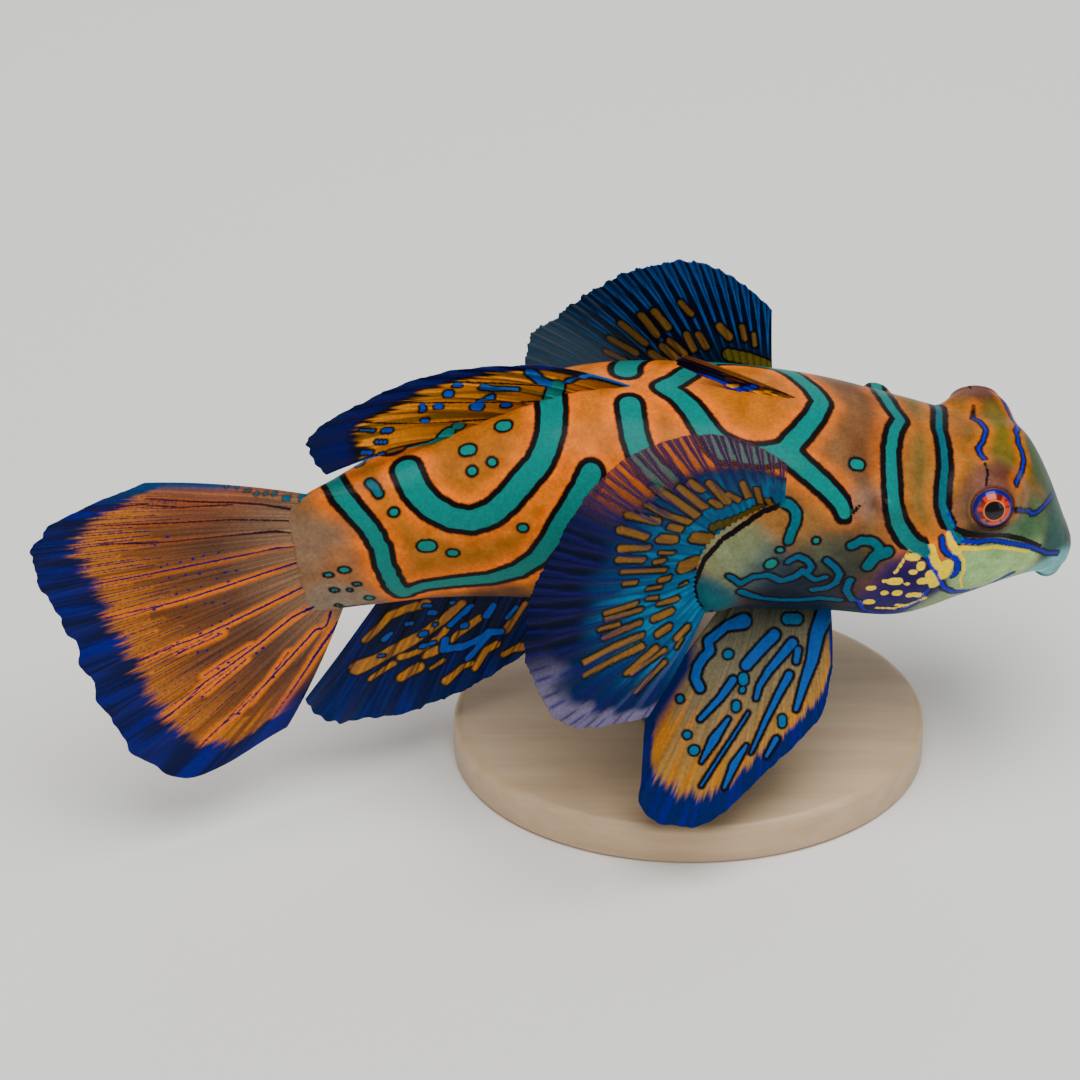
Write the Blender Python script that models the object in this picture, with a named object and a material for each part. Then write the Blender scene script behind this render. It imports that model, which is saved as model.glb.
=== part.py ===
"""A mandarinfish at life size, held level over a plain display stand.

The fish is shaped straight, in millimetres, with q along the body towards the snout, y to its left
and z up from the body's middle line. Two steps follow: pose() bends the straight shape into the
swimming curve, and everything is scaled to metres. The flesh is one implicit shape, a loft melted
together with the eye domes, the lips and the fleshy bases of the pectoral fins. Its nodes are cut
from it by planes across the body. Every fin is a fan of rays with a membrane between them.
"""

import bmesh
import bpy
import numpy as np

MM = 0.001
GAP = 0.3
AXIS_HEIGHT = 22.0

# Body: place along the body, half width, half height, height of the section's middle
SNOUT_TIP = 25.75
BODY_SECTIONS = (
    (-21.9, 0.95, 4.75, 0.2),
    (-19.0, 2.30, 5.05, 0.0),
    (-15.0, 3.95, 5.55, 0.05),
    (-10.0, 5.50, 6.55, 0.2),
    (-5.0, 6.60, 7.50, 0.25),
    (0.0, 7.10, 7.70, 0.0),
    (5.0, 7.20, 7.55, -0.3),
    (10.0, 7.10, 7.15, -0.95),
    (15.0, 6.60, 6.65, -2.05),
    (18.5, 5.70, 5.60, -2.05),
    (21.2, 4.85, 5.15, -1.8),
    (23.1, 3.70, 4.35, -2.5),
    (24.4, 2.50, 3.10, -4.15),
    (25.1, 1.65, 1.95, -5.1),
    (25.5, 0.95, 1.05, -5.45),
    (SNOUT_TIP, 0.30, 0.35, -5.6),
)
SECTION_SQUARENESS = 2.15
HEAD_PLANE = 11.4
TAIL_PLANE = -8.0

# Soft lumps melted into the loft: middle, radii, and how softly they melt in
EYE_DOME_MIDDLE = (19.85, 3.45, 1.15)
EYE_DOME_RADII = (2.45, 2.35, 2.45)
BROW_MIDDLE = (19.8, 0.0, 0.75)
BROW_RADII = (2.8, 3.0, 2.6)
UPPER_LIP_MIDDLE = (24.5, 0.0, -5.4)
UPPER_LIP_RADII = (1.15, 1.5, 1.3)
LOWER_LIP_MIDDLE = (24.2, 0.0, -7.2)
LOWER_LIP_RADII = (0.85, 1.25, 0.55)
GILL_FLAP_MIDDLE = (13.5, 5.55, 2.3)
GILL_FLAP_RADII = (1.1, 0.65, 0.8)
PECTORAL_LOBE_MIDDLE = (4.7, 6.0, -0.9)
PECTORAL_LOBE_RADII = (4.9, 1.7, 2.2)
PECTORAL_LOBE_SLOPE = np.radians(54.0)
LUMP_SOFTNESS = 0.7
LOBE_SOFTNESS = 1.2

# Eyes: each looks sideways and a little up, and stands out of its dome
EYE_RADIUS = 1.5
EYE_LIFT = np.radians(20.0)
EYE_FORWARD = 0.06
EYE_SETTING = 1.2
RIM_RADIUS = 1.75
RIM_THICKNESS = 0.26
RIM_SETTING = 1.6
RIM_STEPS = 20
RIM_SIDES = 6

# Mouth, gill pore and nostrils
MOUTH_CORNER = (23.9, -6.35)
MOUTH_FRONT = (26.2, -6.75)
MOUTH_OPENING = 0.3
GILL_PORE_MIDDLE = (12.75, 5.75, 2.75)
GILL_PORE_RADII = (0.5, 0.6, 0.4)
NOSTRIL_MIDDLE = (23.9, 2.2, -1.95)
NOSTRIL_RADIUS = 0.24

# Pose: the tail swings to the near side and sinks, the snout turns a little away
TAIL_LENGTH = 20.9
TAIL_SWING = 4.9
TAIL_SINK = 1.5
HEAD_LENGTH = 25.0
HEAD_TURN = 1.1
SWING_POWER = 1.9
SINK_POWER = 2.2
TURN_POWER = 1.5

# Fins: place of a ray across the fin (0 first to 1 last), then q, y and z of its root or tip
CAUDAL_ROOTS = ((0, -20.9, 0, 4.9), (0.5, -21.5, 0, 0.2), (1, -20.3, 0, -4.8))
CAUDAL_TIPS = (
    (0, -30.0, 0, 11.0),
    (0.1, -33.6, 0, 11.1),
    (0.2, -36.3, 0, 10.4),
    (0.5, -36.6, 0, 2.9),
    (0.63, -35.8, 0, -1.8),
    (0.75, -35.3, 0, -6.2),
    (0.86, -33.9, 0, -10.6),
    (0.94, -31.0, 0, -14.0),
    (1, -25.2, 0, -13.2),
)
ANAL_ROOTS = ((0, -3.8, 0, -6.6), (0.5, -10.4, 0, -5.6), (1, -17.3, 0, -4.5))
ANAL_TIPS = (
    (0, -7.6, 0, -12.0),
    (0.2, -11.0, 0, -14.1),
    (0.4, -14.0, 0, -15.3),
    (0.7, -19.0, 0, -15.5),
    (0.9, -23.0, 0, -13.7),
    (1, -24.0, 0, -11.3),
)
SECOND_DORSAL_ROOTS = ((0, -0.6, 0, 7.1), (0.5, -6.2, 0, 7.0), (1, -12.2, 0, 5.5))
SECOND_DORSAL_TIPS = (
    (0, -7.8, 0, 10.3),
    (0.3, -13.2, -0.2, 11.3),
    (0.6, -18.2, -0.7, 11.1),
    (0.85, -21.0, -1.1, 9.9),
    (1, -20.4, -1.5, 7.3),
)
FIRST_DORSAL_ROOTS = ((0, 8.8, 0, 6.3), (0.5, 6.8, 0, 6.8), (1, 4.6, 0, 7.1))
FIRST_DORSAL_TIPS = ((0, 1.2, 0.4, 9.9), (0.5, 0.8, 0.6, 9.4), (1, 0.9, 0.8, 8.8))
PECTORAL_ROOTS = (
    (0, 7.2, 6.0, 3.5),
    (0.25, 5.0, 6.3, 2.2),
    (0.5, 3.4, 6.4, 0.2),
    (0.75, 2.6, 6.4, -2.0),
    (1, 2.9, 5.9, -4.2),
)
PECTORAL_TIPS = (
    (0, 7.2, 7.6, 7.7),
    (0.1, 5.2, 8.0, 9.6),
    (0.22, 2.4, 8.5, 10.9),
    (0.36, -1.2, 8.9, 10.2),
    (0.48, -4.2, 9.6, 8.0),
    (0.6, -6.6, 11.2, 4.5),
    (0.72, -8.4, 13.2, 1.0),
    (0.8, -8.5, 14.2, -2.4),
    (0.9, -5.9, 14.8, -7.2),
    (1, -0.9, 13.2, -7.8),
)
PELVIC_ROOTS = ((0, 10.4, 3.4, -6.4), (0.5, 7.4, 4.0, -6.3), (1, 4.1, 4.6, -5.2))
PELVIC_TIPS = (
    (0, 10.4, 6.9, -9.6),
    (0.25, 9.5, 8.9, -12.0),
    (0.5, 6.3, 11.0, -14.5),
    (0.75, 1.5, 13.3, -17.3),
    (0.9, -1.5, 12.1, -15.8),
    (1, -0.8, 8.3, -11.2),
)
# How far the first and the last ray of a fin curve out of their straight line, as q, y and z
CAUDAL_BOWS = ((0, 0, 0.12), (0.02, 0, -0.12))
ANAL_BOWS = ((0, 0, -0.08), (0, 0, -0.08))
SECOND_DORSAL_BOWS = ((0, 0, 0.10), (0, 0, 0.12))
FIRST_DORSAL_BOWS = ((0, 0, 0.08), (0, 0, 0.08))
PECTORAL_BOWS = ((0, 0.25, 0), (0, 0.25, 0))
PELVIC_BOWS = ((0.06, 0.15, 0), (-0.1, 0.15, 0))
MEMBRANE_THICKNESS = 0.5
RAY_RISE = 0.17
TIP_THINNING = 0.35
TIP_SCALLOP = 0.035

# Rays of each fin, and where along a branched ray its fork opens and is fully open
CAUDAL_RAYS = 9
ANAL_RAYS = 8
SECOND_DORSAL_RAYS = 8
FIRST_DORSAL_SPINES = 4
PECTORAL_RAYS = 15
PELVIC_RAYS = 6
FORK_START = 0.35
FORK_LENGTH = 0.3

# How finely the flesh is lofted: rings along each piece, and points round a ring
HEAD_RINGS = 25
HEAD_SIDES = 36
TORSO_RINGS = 15
TAIL_RINGS = 11
TRUNK_SIDES = 32
CLEARANCE_RINGS = 44
CLEARANCE_SIDES = 40
FARTHEST_FLESH = 12.0
SEARCH_STEPS = 61
HALVINGS = 20

# Edges sharper than this stay crisp, and points closer than this, in metres, are welded
CRISP_ANGLE = np.radians(50)
WELD_DISTANCE = 2e-6

# Stand: an oval foot and one rod up to the belly
STAND_LENGTH = 30.0
STAND_WIDTH = 22.0
STAND_THICKNESS = 3.0
STAND_BEVEL = 0.5
ROD_RADIUS = 0.9
ROD_PLACE = 0.6

# The row's origin lies under the middle of the stand's foot
ORIGIN_PLACE = 2.0


def smooth(places, stations, values):
    """Cubic curve through the values at the stations, with each slope taken from its neighbours."""
    places = np.asarray(places, float)
    slopes = np.gradient(values, stations)
    low = np.clip(np.searchsorted(stations, places) - 1, 0, len(stations) - 2)
    step = stations[low + 1] - stations[low]
    t = np.clip((places - stations[low]) / step, 0, 1)
    ends = (1 + 2 * t) * (1 - t) ** 2 * values[low] + t * t * (3 - 2 * t) * values[low + 1]
    return ends + t * (1 - t) * step * ((1 - t) * slopes[low] - t * slopes[low + 1])


def curve_through(table, places):
    """Points of a smooth curve whose table holds a place, then one column for each coordinate."""
    table = np.array(table, float)
    columns = [smooth(places, table[:, 0], table[:, k]) for k in range(1, table.shape[1])]
    return np.stack(columns, axis=-1)


def lump(points, middle, radii, slope=0.0):
    """Distance in millimetres to an ellipsoid, near its surface, turned by a slope in the qz plane."""
    away = points - np.array(middle)
    turned = away.copy()
    turned[..., 0] = np.cos(slope) * away[..., 0] + np.sin(slope) * away[..., 2]
    turned[..., 2] = np.cos(slope) * away[..., 2] - np.sin(slope) * away[..., 0]
    size = np.linalg.norm(turned / np.array(radii), axis=-1)
    steepness = np.linalg.norm(turned / np.array(radii) ** 2, axis=-1)
    return size * (size - 1) / np.maximum(steepness, 1e-6)


def melt(first, second, softness):
    """Union of two distances with a rounded crease as wide as the softness."""
    overlap = np.maximum(softness - np.abs(first - second), 0)
    return np.minimum(first, second) - overlap ** 2 / (4 * softness)


def flesh_distance(points):
    """Distance in millimetres from the straight fish's surface, negative inside."""
    half_width, half_height, middle = np.moveaxis(curve_through(BODY_SECTIONS, points[..., 0]), -1, 0)
    across = np.abs(points[..., 1])
    above = points[..., 2] - middle
    reach = np.maximum(np.hypot(across, above), 1e-6)
    power = SECTION_SQUARENESS
    size = ((across / half_width) ** power + (np.abs(above) / half_height) ** power) ** (1 / power)
    distance = reach - reach / np.maximum(size, 1e-6)
    mirrored = np.stack([points[..., 0], across, points[..., 2]], axis=-1)
    for middle_point, radii in (
        (EYE_DOME_MIDDLE, EYE_DOME_RADII),
        (BROW_MIDDLE, BROW_RADII),
        (UPPER_LIP_MIDDLE, UPPER_LIP_RADII),
        (LOWER_LIP_MIDDLE, LOWER_LIP_RADII),
        (GILL_FLAP_MIDDLE, GILL_FLAP_RADII),
    ):
        distance = melt(distance, lump(mirrored, middle_point, radii), LUMP_SOFTNESS)
    lobe = lump(mirrored, PECTORAL_LOBE_MIDDLE, PECTORAL_LOBE_RADII, PECTORAL_LOBE_SLOPE)
    return melt(distance, lobe, LOBE_SOFTNESS)


def flesh_ring(place, angles, swelling):
    """Points round the fish at one place, where the flesh distance equals the swelling."""
    middle = curve_through(BODY_SECTIONS, np.array([place]))[0, 2]
    directions = np.stack([0 * angles, np.cos(angles), np.sin(angles)], axis=-1)
    start = np.array([place, 0.0, middle])
    reaches = np.linspace(FARTHEST_FLESH, 0.0, SEARCH_STEPS)
    along = start + reaches[:, None, None] * directions
    inside = flesh_distance(along) <= swelling
    first = np.where(inside.any(axis=0), inside.argmax(axis=0), len(reaches) - 1)
    inner = reaches[first]
    outer = reaches[np.maximum(first - 1, 0)]
    for _ in range(HALVINGS):
        middle_reach = (inner + outer) / 2
        within = flesh_distance(start + middle_reach[:, None] * directions) <= swelling
        inner = np.where(within, middle_reach, inner)
        outer = np.where(within, outer, middle_reach)
    return start + inner[:, None] * directions


def pose(points, stiff=False):
    """Bend straight points: the middle line swings and sinks, and each section stays square to it.

    A stiff piece, which grows forward of the bend, doesn't follow the tail.
    """
    q, y, z = np.moveaxis(np.asarray(points, float), -1, 0)
    head = np.clip(q, 0, None) / HEAD_LENGTH
    tail = np.clip(-q, 0, 0 if stiff else TAIL_LENGTH) / TAIL_LENGTH
    beyond = np.clip(-q - TAIL_LENGTH, 0, None) / TAIL_LENGTH
    swing = HEAD_TURN * head ** TURN_POWER - TAIL_SWING * (tail ** SWING_POWER + SWING_POWER * beyond)
    turn_slope = TURN_POWER * HEAD_TURN / HEAD_LENGTH * head ** (TURN_POWER - 1)
    swing_slope = turn_slope + SWING_POWER * TAIL_SWING / TAIL_LENGTH * tail ** (SWING_POWER - 1)
    sink = -TAIL_SINK * (tail ** SINK_POWER + SINK_POWER * beyond)
    sink_slope = SINK_POWER * TAIL_SINK / TAIL_LENGTH * tail ** (SINK_POWER - 1)
    middle = np.stack([q, swing, sink + AXIS_HEIGHT], axis=-1)
    sideways = np.stack([-swing_slope, 0 * q + 1, 0 * q], axis=-1)
    upward = np.stack([-sink_slope, -swing_slope * sink_slope, 1 + swing_slope ** 2], axis=-1)
    sideways /= np.linalg.norm(sideways, axis=-1, keepdims=True)
    upward /= np.linalg.norm(upward, axis=-1, keepdims=True)
    return middle + sideways * y[..., None] + upward * z[..., None]


def to_metres(points):
    """Posed millimetres to metres in the row's frame."""
    return (np.asarray(points) - np.array([ORIGIN_PLACE, 0, 0])) * MM


def new_material(name, colour, roughness, metallic=0.0):
    """A plain Principled material in the piece's main colour."""
    material = bpy.data.materials.new(name)
    material.use_nodes = True
    shader = material.node_tree.nodes["Principled BSDF"]
    shader.inputs["Base Color"].default_value = (*colour, 1.0)
    shader.inputs["Roughness"].default_value = roughness
    shader.inputs["Metallic"].default_value = metallic
    material.diffuse_color = (*colour, 1.0)
    return material


def new_object(name, collection, mesh, material=None):
    """A named object for the mesh, in the collection, with its material."""
    thing = bpy.data.objects.new(name, mesh)
    collection.objects.link(thing)
    if material:
        mesh.materials.append(material)
    mesh.shade_smooth()
    mesh.set_sharp_from_angle(angle=CRISP_ANGLE)
    return thing


def new_cutter(name, mesh):
    """A hidden helper that a Boolean uses."""
    cutter = new_object(name, cutters, mesh)
    cutter.hide_render = True
    cutter.display_type = "WIRE"
    return cutter


def mesh_from_faces(name, points, faces):
    """A mesh with its faces turned outwards."""
    mesh = bpy.data.meshes.new(name)
    mesh.from_pydata([tuple(p) for p in points], [], [tuple(int(i) for i in f) for f in faces])
    shape = bmesh.new()
    shape.from_mesh(mesh)
    bmesh.ops.recalc_face_normals(shape, faces=shape.faces)
    shape.to_mesh(mesh)
    shape.free()
    return mesh


def flesh_mesh(name, places, sides, swelling=0.0):
    """Loft of rings round the fish at the places, closed by a fan at each end."""
    angles = np.linspace(0, 2 * np.pi, sides, endpoint=False)
    rings = np.array([flesh_ring(place, angles, swelling) for place in places])
    ends = rings[[0, -1]].mean(axis=1)
    points = to_metres(pose(np.concatenate([rings.reshape(-1, 3), ends])))
    faces = []
    for ring in range(len(places) - 1):
        for side in range(sides):
            a = ring * sides + side
            b = ring * sides + (side + 1) % sides
            faces += [(a, b, b + sides), (a, b + sides, a + sides)]
    last = (len(places) - 1) * sides
    for side in range(sides):
        other = (side + 1) % sides
        faces += [(side, other, len(points) - 2), (last + side, last + other, len(points) - 1)]
    return mesh_from_faces(name, points, faces)


def ray_columns(rays, branched):
    """Places across a fin and the rise there: a foot, a crest and a foot for each ray.

    A branched ray has two crests, whose dip deepens from half way out.
    Returns places, root rises and tip rises, each from 0 to 1.
    """
    if branched:
        pattern = ((-0.36, 0, 0), (-0.17, 1, 1), (0.0, 1, 0.1), (0.17, 1, 1), (0.36, 0, 0))
    else:
        pattern = ((-0.3, 0, 0), (0.0, 1, 1), (0.3, 0, 0))
    columns = [((ray + 0.5 + shift) / rays, root, tip) for ray in range(rays) for shift, root, tip in pattern]
    columns = [(0.0, 0.5, 0.5)] + columns + [(1.0, 0.5, 0.5)]
    return np.array(columns).T


def fin_mesh(name, roots, tips, bows, rays, rows, branched, side):
    """Solid fin: rays fan from root to tip, raised on both faces of a membrane of even thickness.

    The bows push the middle of each ray out of its line, by a share of the ray's length. Paired
    fins, with a side, are stiff.
    """
    across, root_rise, tip_rise = ray_columns(rays, branched)
    out = np.linspace(0, 1, rows + 1)
    u, v = np.meshgrid(out, across, indexing="ij")
    root = curve_through(roots, v)
    reach = curve_through(tips, v) - root
    length = np.linalg.norm(reach, axis=-1, keepdims=True)
    to_ray = np.abs((v * rays) % 1 - 0.5)
    shorten = 1 - TIP_SCALLOP * 2 * to_ray
    middle = root + reach * (u * shorten)[..., None]
    first_bow, last_bow = np.array(bows, float)
    bow = first_bow + (last_bow - first_bow) * v[..., None]
    middle = middle + bow * length * (u * (1 - u))[..., None]
    middle[..., 1] *= side or 1
    middle = pose(middle, stiff=bool(side))
    along = np.gradient(middle, axis=0)
    beside = np.gradient(middle, axis=1)
    normal = np.cross(along, beside)
    normal /= np.linalg.norm(normal, axis=-1, keepdims=True)
    forked = np.clip((u - FORK_START) / FORK_LENGTH, 0, 1)
    rise = root_rise + (tip_rise - root_rise) * forked
    half = (MEMBRANE_THICKNESS / 2 + RAY_RISE * rise) * (1 - TIP_THINNING * u ** 3)
    faces_of_fin = [middle + normal * half[..., None], middle - normal * half[..., None]]
    points = to_metres(np.concatenate([face.reshape(-1, 3) for face in faces_of_fin]))
    return mesh_from_faces(name, points, slab_faces(rows + 1, len(across)))


def slab_faces(rows, columns):
    """Triangles of two like grids, split along the same diagonals, and the rim between them."""
    grid = np.arange(rows * columns).reshape(rows, columns)
    a, b, c, d = grid[:-1, :-1], grid[:-1, 1:], grid[1:, 1:], grid[1:, :-1]
    front = np.concatenate([np.stack([a, b, c], -1).reshape(-1, 3), np.stack([a, c, d], -1).reshape(-1, 3)])
    back = front[:, ::-1] + rows * columns
    rim = np.concatenate([grid[0, :-1], grid[:-1, -1], grid[-1, :0:-1], grid[:0:-1, 0]])
    after = np.roll(rim, -1)
    shift = rows * columns
    walls = np.concatenate([
        np.stack([rim, rim + shift, after + shift], -1),
        np.stack([rim, after + shift, after], -1),
    ])
    return np.concatenate([front, back, walls])


def apply_boolean(thing, cutter, operation, solver="EXACT"):
    """Cut or join with one closed mesh and keep the result in the object."""
    modifier = thing.modifiers.new(operation.lower(), "BOOLEAN")
    modifier.object = cutter
    modifier.operation = operation
    modifier.solver = solver
    evaluated = thing.evaluated_get(bpy.context.evaluated_depsgraph_get())
    mesh = bpy.data.meshes.new_from_object(evaluated)
    thing.modifiers.clear()
    thing.data = mesh


def keep_largest_shell(thing):
    """Drop everything but the largest closed surface, and split what is left into triangles."""
    shape = bmesh.new()
    shape.from_mesh(thing.data)
    bmesh.ops.remove_doubles(shape, verts=shape.verts, dist=WELD_DISTANCE)
    bmesh.ops.dissolve_degenerate(shape, edges=shape.edges, dist=WELD_DISTANCE)
    bmesh.ops.triangulate(shape, faces=shape.faces)
    waiting = set(shape.verts)
    shells = []
    while waiting:
        edge_of_shell = [waiting.pop()]
        shell = set(edge_of_shell)
        while edge_of_shell:
            vertex = edge_of_shell.pop()
            for edge in vertex.link_edges:
                other = edge.other_vert(vertex)
                if other not in shell:
                    shell.add(other)
                    edge_of_shell.append(other)
        waiting -= shell
        shells.append(shell)
    largest = max(shells, key=len)
    loose = [vertex for vertex in shape.verts if vertex not in largest]
    bmesh.ops.delete(shape, geom=loose, context="VERTS")
    shape.to_mesh(thing.data)
    shape.free()


def ball_mesh(name, middle, radii, segments):
    """Posed ellipsoid at a place of the straight fish."""
    mesh = bpy.data.meshes.new(name)
    shape = bmesh.new()
    bmesh.ops.create_uvsphere(shape, u_segments=segments, v_segments=segments // 2 + 2, radius=1.0)
    for vertex in shape.verts:
        vertex.co = np.array(vertex.co) * np.array(radii)
    place = to_metres(pose(np.array(middle)))
    for vertex in shape.verts:
        vertex.co = place + np.array(vertex.co) * MM
    bmesh.ops.recalc_face_normals(shape, faces=shape.faces)
    shape.to_mesh(mesh)
    shape.free()
    return mesh


def eye_direction(side):
    """Way that an eye looks in the straight fish."""
    return np.array([EYE_FORWARD, side * np.cos(EYE_LIFT), np.sin(EYE_LIFT)])


def eye_place(side, setting):
    """Point on the eye's axis, at a distance out from the middle of its dome."""
    middle = np.array(EYE_DOME_MIDDLE) * np.array([1, side, 1])
    return middle + eye_direction(side) * setting


def rim_mesh(name, side):
    """Raised ring of skin round the eye: small round sections along a circle."""
    axis = eye_direction(side)
    first = np.cross(axis, [0, 0, 1])
    first /= np.linalg.norm(first)
    second = np.cross(axis, first)
    around = np.linspace(0, 2 * np.pi, RIM_STEPS, endpoint=False)[:, None, None]
    about = np.linspace(0, 2 * np.pi, RIM_SIDES, endpoint=False)[None, :, None]
    spoke = np.cos(around) * first + np.sin(around) * second
    centre = eye_place(side, RIM_SETTING) + RIM_RADIUS * spoke
    points = centre + RIM_THICKNESS * (np.cos(about) * spoke + np.sin(about) * axis)
    grid = np.arange(RIM_STEPS * RIM_SIDES).reshape(RIM_STEPS, RIM_SIDES)
    right = np.roll(grid, -1, axis=0)
    up = np.roll(grid, -1, axis=1)
    both = np.roll(right, -1, axis=1)
    faces = np.stack([grid, right, both, up], -1).reshape(-1, 4)
    return mesh_from_faces(name, to_metres(pose(points.reshape(-1, 3))), faces)


def mouth_mesh(name):
    """Thin wedge that parts the lips, open to the front and to both sides."""
    back_q, back_z = MOUTH_CORNER
    front_q, front_z = MOUTH_FRONT
    half = MOUTH_OPENING / 2
    wide = UPPER_LIP_RADII[1] * 2.5
    points = [
        (q, side * wide, z + rise)
        for q, z, rise in (
            (back_q, back_z, half * 0.4),
            (back_q, back_z, -half * 0.4),
            (front_q, front_z, -half * 1.4),
            (front_q, front_z, half * 1.4),
        )
        for side in (-1, 1)
    ]
    faces = [(0, 1, 3, 2), (2, 3, 5, 4), (4, 5, 7, 6), (6, 7, 1, 0), (0, 2, 4, 6), (1, 7, 5, 3)]
    return mesh_from_faces(name, to_metres(pose(np.array(points))), faces)


def build_head():
    """Head: loft to the snout, eye rims joined on, then sockets, mouth, pores and nostrils cut."""
    share = np.linspace(0, 1, HEAD_RINGS)
    places = HEAD_PLANE + GAP / 2 + (SNOUT_TIP - HEAD_PLANE - GAP / 2) * np.sin(share * np.pi / 2) ** 0.9
    head = new_object("head", fish, flesh_mesh("head", places, HEAD_SIDES), skin_head)
    for side in (-1, 1):
        rim = new_cutter("eye_rim", rim_mesh("eye_rim", side))
        apply_boolean(head, rim, "UNION")
    for side in (-1, 1):
        mirrored = np.array([1, side, 1])
        hollow = EYE_RADIUS + GAP
        for name, middle, radii, segments in (
            ("eye_socket", eye_place(side, EYE_SETTING), (hollow,) * 3, 18),
            ("gill_pore", np.array(GILL_PORE_MIDDLE) * mirrored, GILL_PORE_RADII, 8),
            ("nostril", np.array(NOSTRIL_MIDDLE) * mirrored, (NOSTRIL_RADIUS,) * 3, 6),
        ):
            cutter = new_cutter(name, ball_mesh(name, middle, radii, segments))
            apply_boolean(head, cutter, "DIFFERENCE")
    mouth = new_cutter("mouth_wedge", mouth_mesh("mouth_wedge"))
    apply_boolean(head, mouth, "DIFFERENCE")
    keep_largest_shell(head)
    return head


def build_eyes():
    """One ball in each socket."""
    for side, name in ((-1, "eye_right"), (1, "eye_left")):
        mesh = ball_mesh(name, eye_place(side, EYE_SETTING), (EYE_RADIUS,) * 3, 14)
        new_object(name, fish, mesh, eye_wet)


def build_trunk():
    """Torso and tail between planes across the body."""
    torso_places = np.linspace(TAIL_PLANE + GAP / 2, HEAD_PLANE - GAP / 2, TORSO_RINGS)
    new_object("torso", fish, flesh_mesh("torso", torso_places, TRUNK_SIDES), skin_body)
    tail_places = np.linspace(BODY_SECTIONS[0][0], TAIL_PLANE - GAP / 2, TAIL_RINGS)
    new_object("tail", fish, flesh_mesh("tail", tail_places, TRUNK_SIDES), skin_body)


def build_fins():
    """Every fin, cut clear of the flesh that it grows from."""
    everywhere = np.linspace(BODY_SECTIONS[0][0], SNOUT_TIP, CLEARANCE_RINGS)
    swollen = flesh_mesh("flesh_clearance", everywhere, CLEARANCE_SIDES, GAP)
    clearance = new_cutter("flesh_clearance", swollen)
    caudal = (CAUDAL_ROOTS, CAUDAL_TIPS, CAUDAL_BOWS, CAUDAL_RAYS, 7, True)
    anal = (ANAL_ROOTS, ANAL_TIPS, ANAL_BOWS, ANAL_RAYS, 6, False)
    second_dorsal = (
        SECOND_DORSAL_ROOTS, SECOND_DORSAL_TIPS, SECOND_DORSAL_BOWS, SECOND_DORSAL_RAYS, 6, False
    )
    first_dorsal = (FIRST_DORSAL_ROOTS, FIRST_DORSAL_TIPS, FIRST_DORSAL_BOWS, FIRST_DORSAL_SPINES, 6, False)
    pectoral = (PECTORAL_ROOTS, PECTORAL_TIPS, PECTORAL_BOWS, PECTORAL_RAYS, 5, False)
    pelvic = (PELVIC_ROOTS, PELVIC_TIPS, PELVIC_BOWS, PELVIC_RAYS, 6, True)
    for name, shape, side, material in (
        ("caudal_fin", caudal, 0, fin_caudal),
        ("anal_fin", anal, 0, fin_anal),
        ("second_dorsal_fin", second_dorsal, 0, fin_dorsal),
        ("first_dorsal_fin", first_dorsal, 0, fin_dorsal),
        ("pectoral_fin_right", pectoral, -1, fin_pectoral),
        ("pectoral_fin_left", pectoral, 1, fin_pectoral),
        ("pelvic_fin_right", pelvic, -1, fin_pelvic),
        ("pelvic_fin_left", pelvic, 1, fin_pelvic),
    ):
        fin = new_object(name, fish, fin_mesh(name, *shape, side), material)
        apply_boolean(fin, clearance, "DIFFERENCE")
        keep_largest_shell(fin)


def build_stand():
    """Oval foot with rounded edges, and a rod that stops just under the belly."""
    mesh = bpy.data.meshes.new("stand_base")
    shape = bmesh.new()
    bmesh.ops.create_cone(shape, cap_ends=True, segments=48, radius1=0.5, radius2=0.5, depth=1.0)
    for vertex in shape.verts:
        x, y, z = vertex.co
        vertex.co = (x * STAND_LENGTH * MM, y * STAND_WIDTH * MM, (z + 0.5) * STAND_THICKNESS * MM)
    top = [edge for edge in shape.edges if all(v.co.z > STAND_THICKNESS * MM / 2 for v in edge.verts)]
    bmesh.ops.bevel(shape, geom=top, offset=STAND_BEVEL * MM, segments=2, profile=0.5, affect="EDGES")
    shape.to_mesh(mesh)
    shape.free()
    base = new_object("stand_base", fish, mesh, stand_wood)
    belly = pose(flesh_ring(ROD_PLACE, np.array([-np.pi / 2]), 0.0)[0])
    foot = STAND_THICKNESS + GAP
    length = belly[2] - GAP - foot
    rod_mesh = bpy.data.meshes.new("stand_rod")
    shape = bmesh.new()
    bmesh.ops.create_cone(
        shape, cap_ends=True, segments=16, radius1=ROD_RADIUS * MM, radius2=ROD_RADIUS * MM, depth=length * MM
    )
    shape.to_mesh(rod_mesh)
    shape.free()
    rod = new_object("stand_rod", fish, rod_mesh, stand_steel)
    rod.location = to_metres((belly[0], belly[1], foot + length / 2))
    rod.parent = base


for old in list(bpy.data.objects):
    bpy.data.objects.remove(old)

fish = bpy.data.collections.new("mandarinfish")
cutters = bpy.data.collections.new("cutters")
bpy.context.scene.collection.children.link(fish)
bpy.context.scene.collection.children.link(cutters)

skin_head = new_material("skin_head", (0.35, 0.22, 0.04), 0.4)
skin_body = new_material("skin_body", (0.75, 0.24, 0.02), 0.4)
eye_wet = new_material("eye", (0.8, 0.1, 0.01), 0.15)
stand_wood = new_material("stand_wood", (0.5, 0.4, 0.3), 0.5)
stand_steel = new_material("stand_steel", (0.6, 0.6, 0.6), 0.3, 1.0)
fin_caudal = new_material("fin_caudal", (0.4, 0.13, 0.03), 0.45)
fin_anal = new_material("fin_anal", (0.05, 0.05, 0.3), 0.45)
fin_dorsal = new_material("fin_dorsal", (0.45, 0.2, 0.03), 0.45)
fin_pectoral = new_material("fin_pectoral", (0.01, 0.13, 0.32), 0.45)
fin_pelvic = new_material("fin_pelvic", (0.3, 0.2, 0.06), 0.45)

build_head()
build_eyes()
build_trunk()
build_fins()
build_stand()
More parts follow.
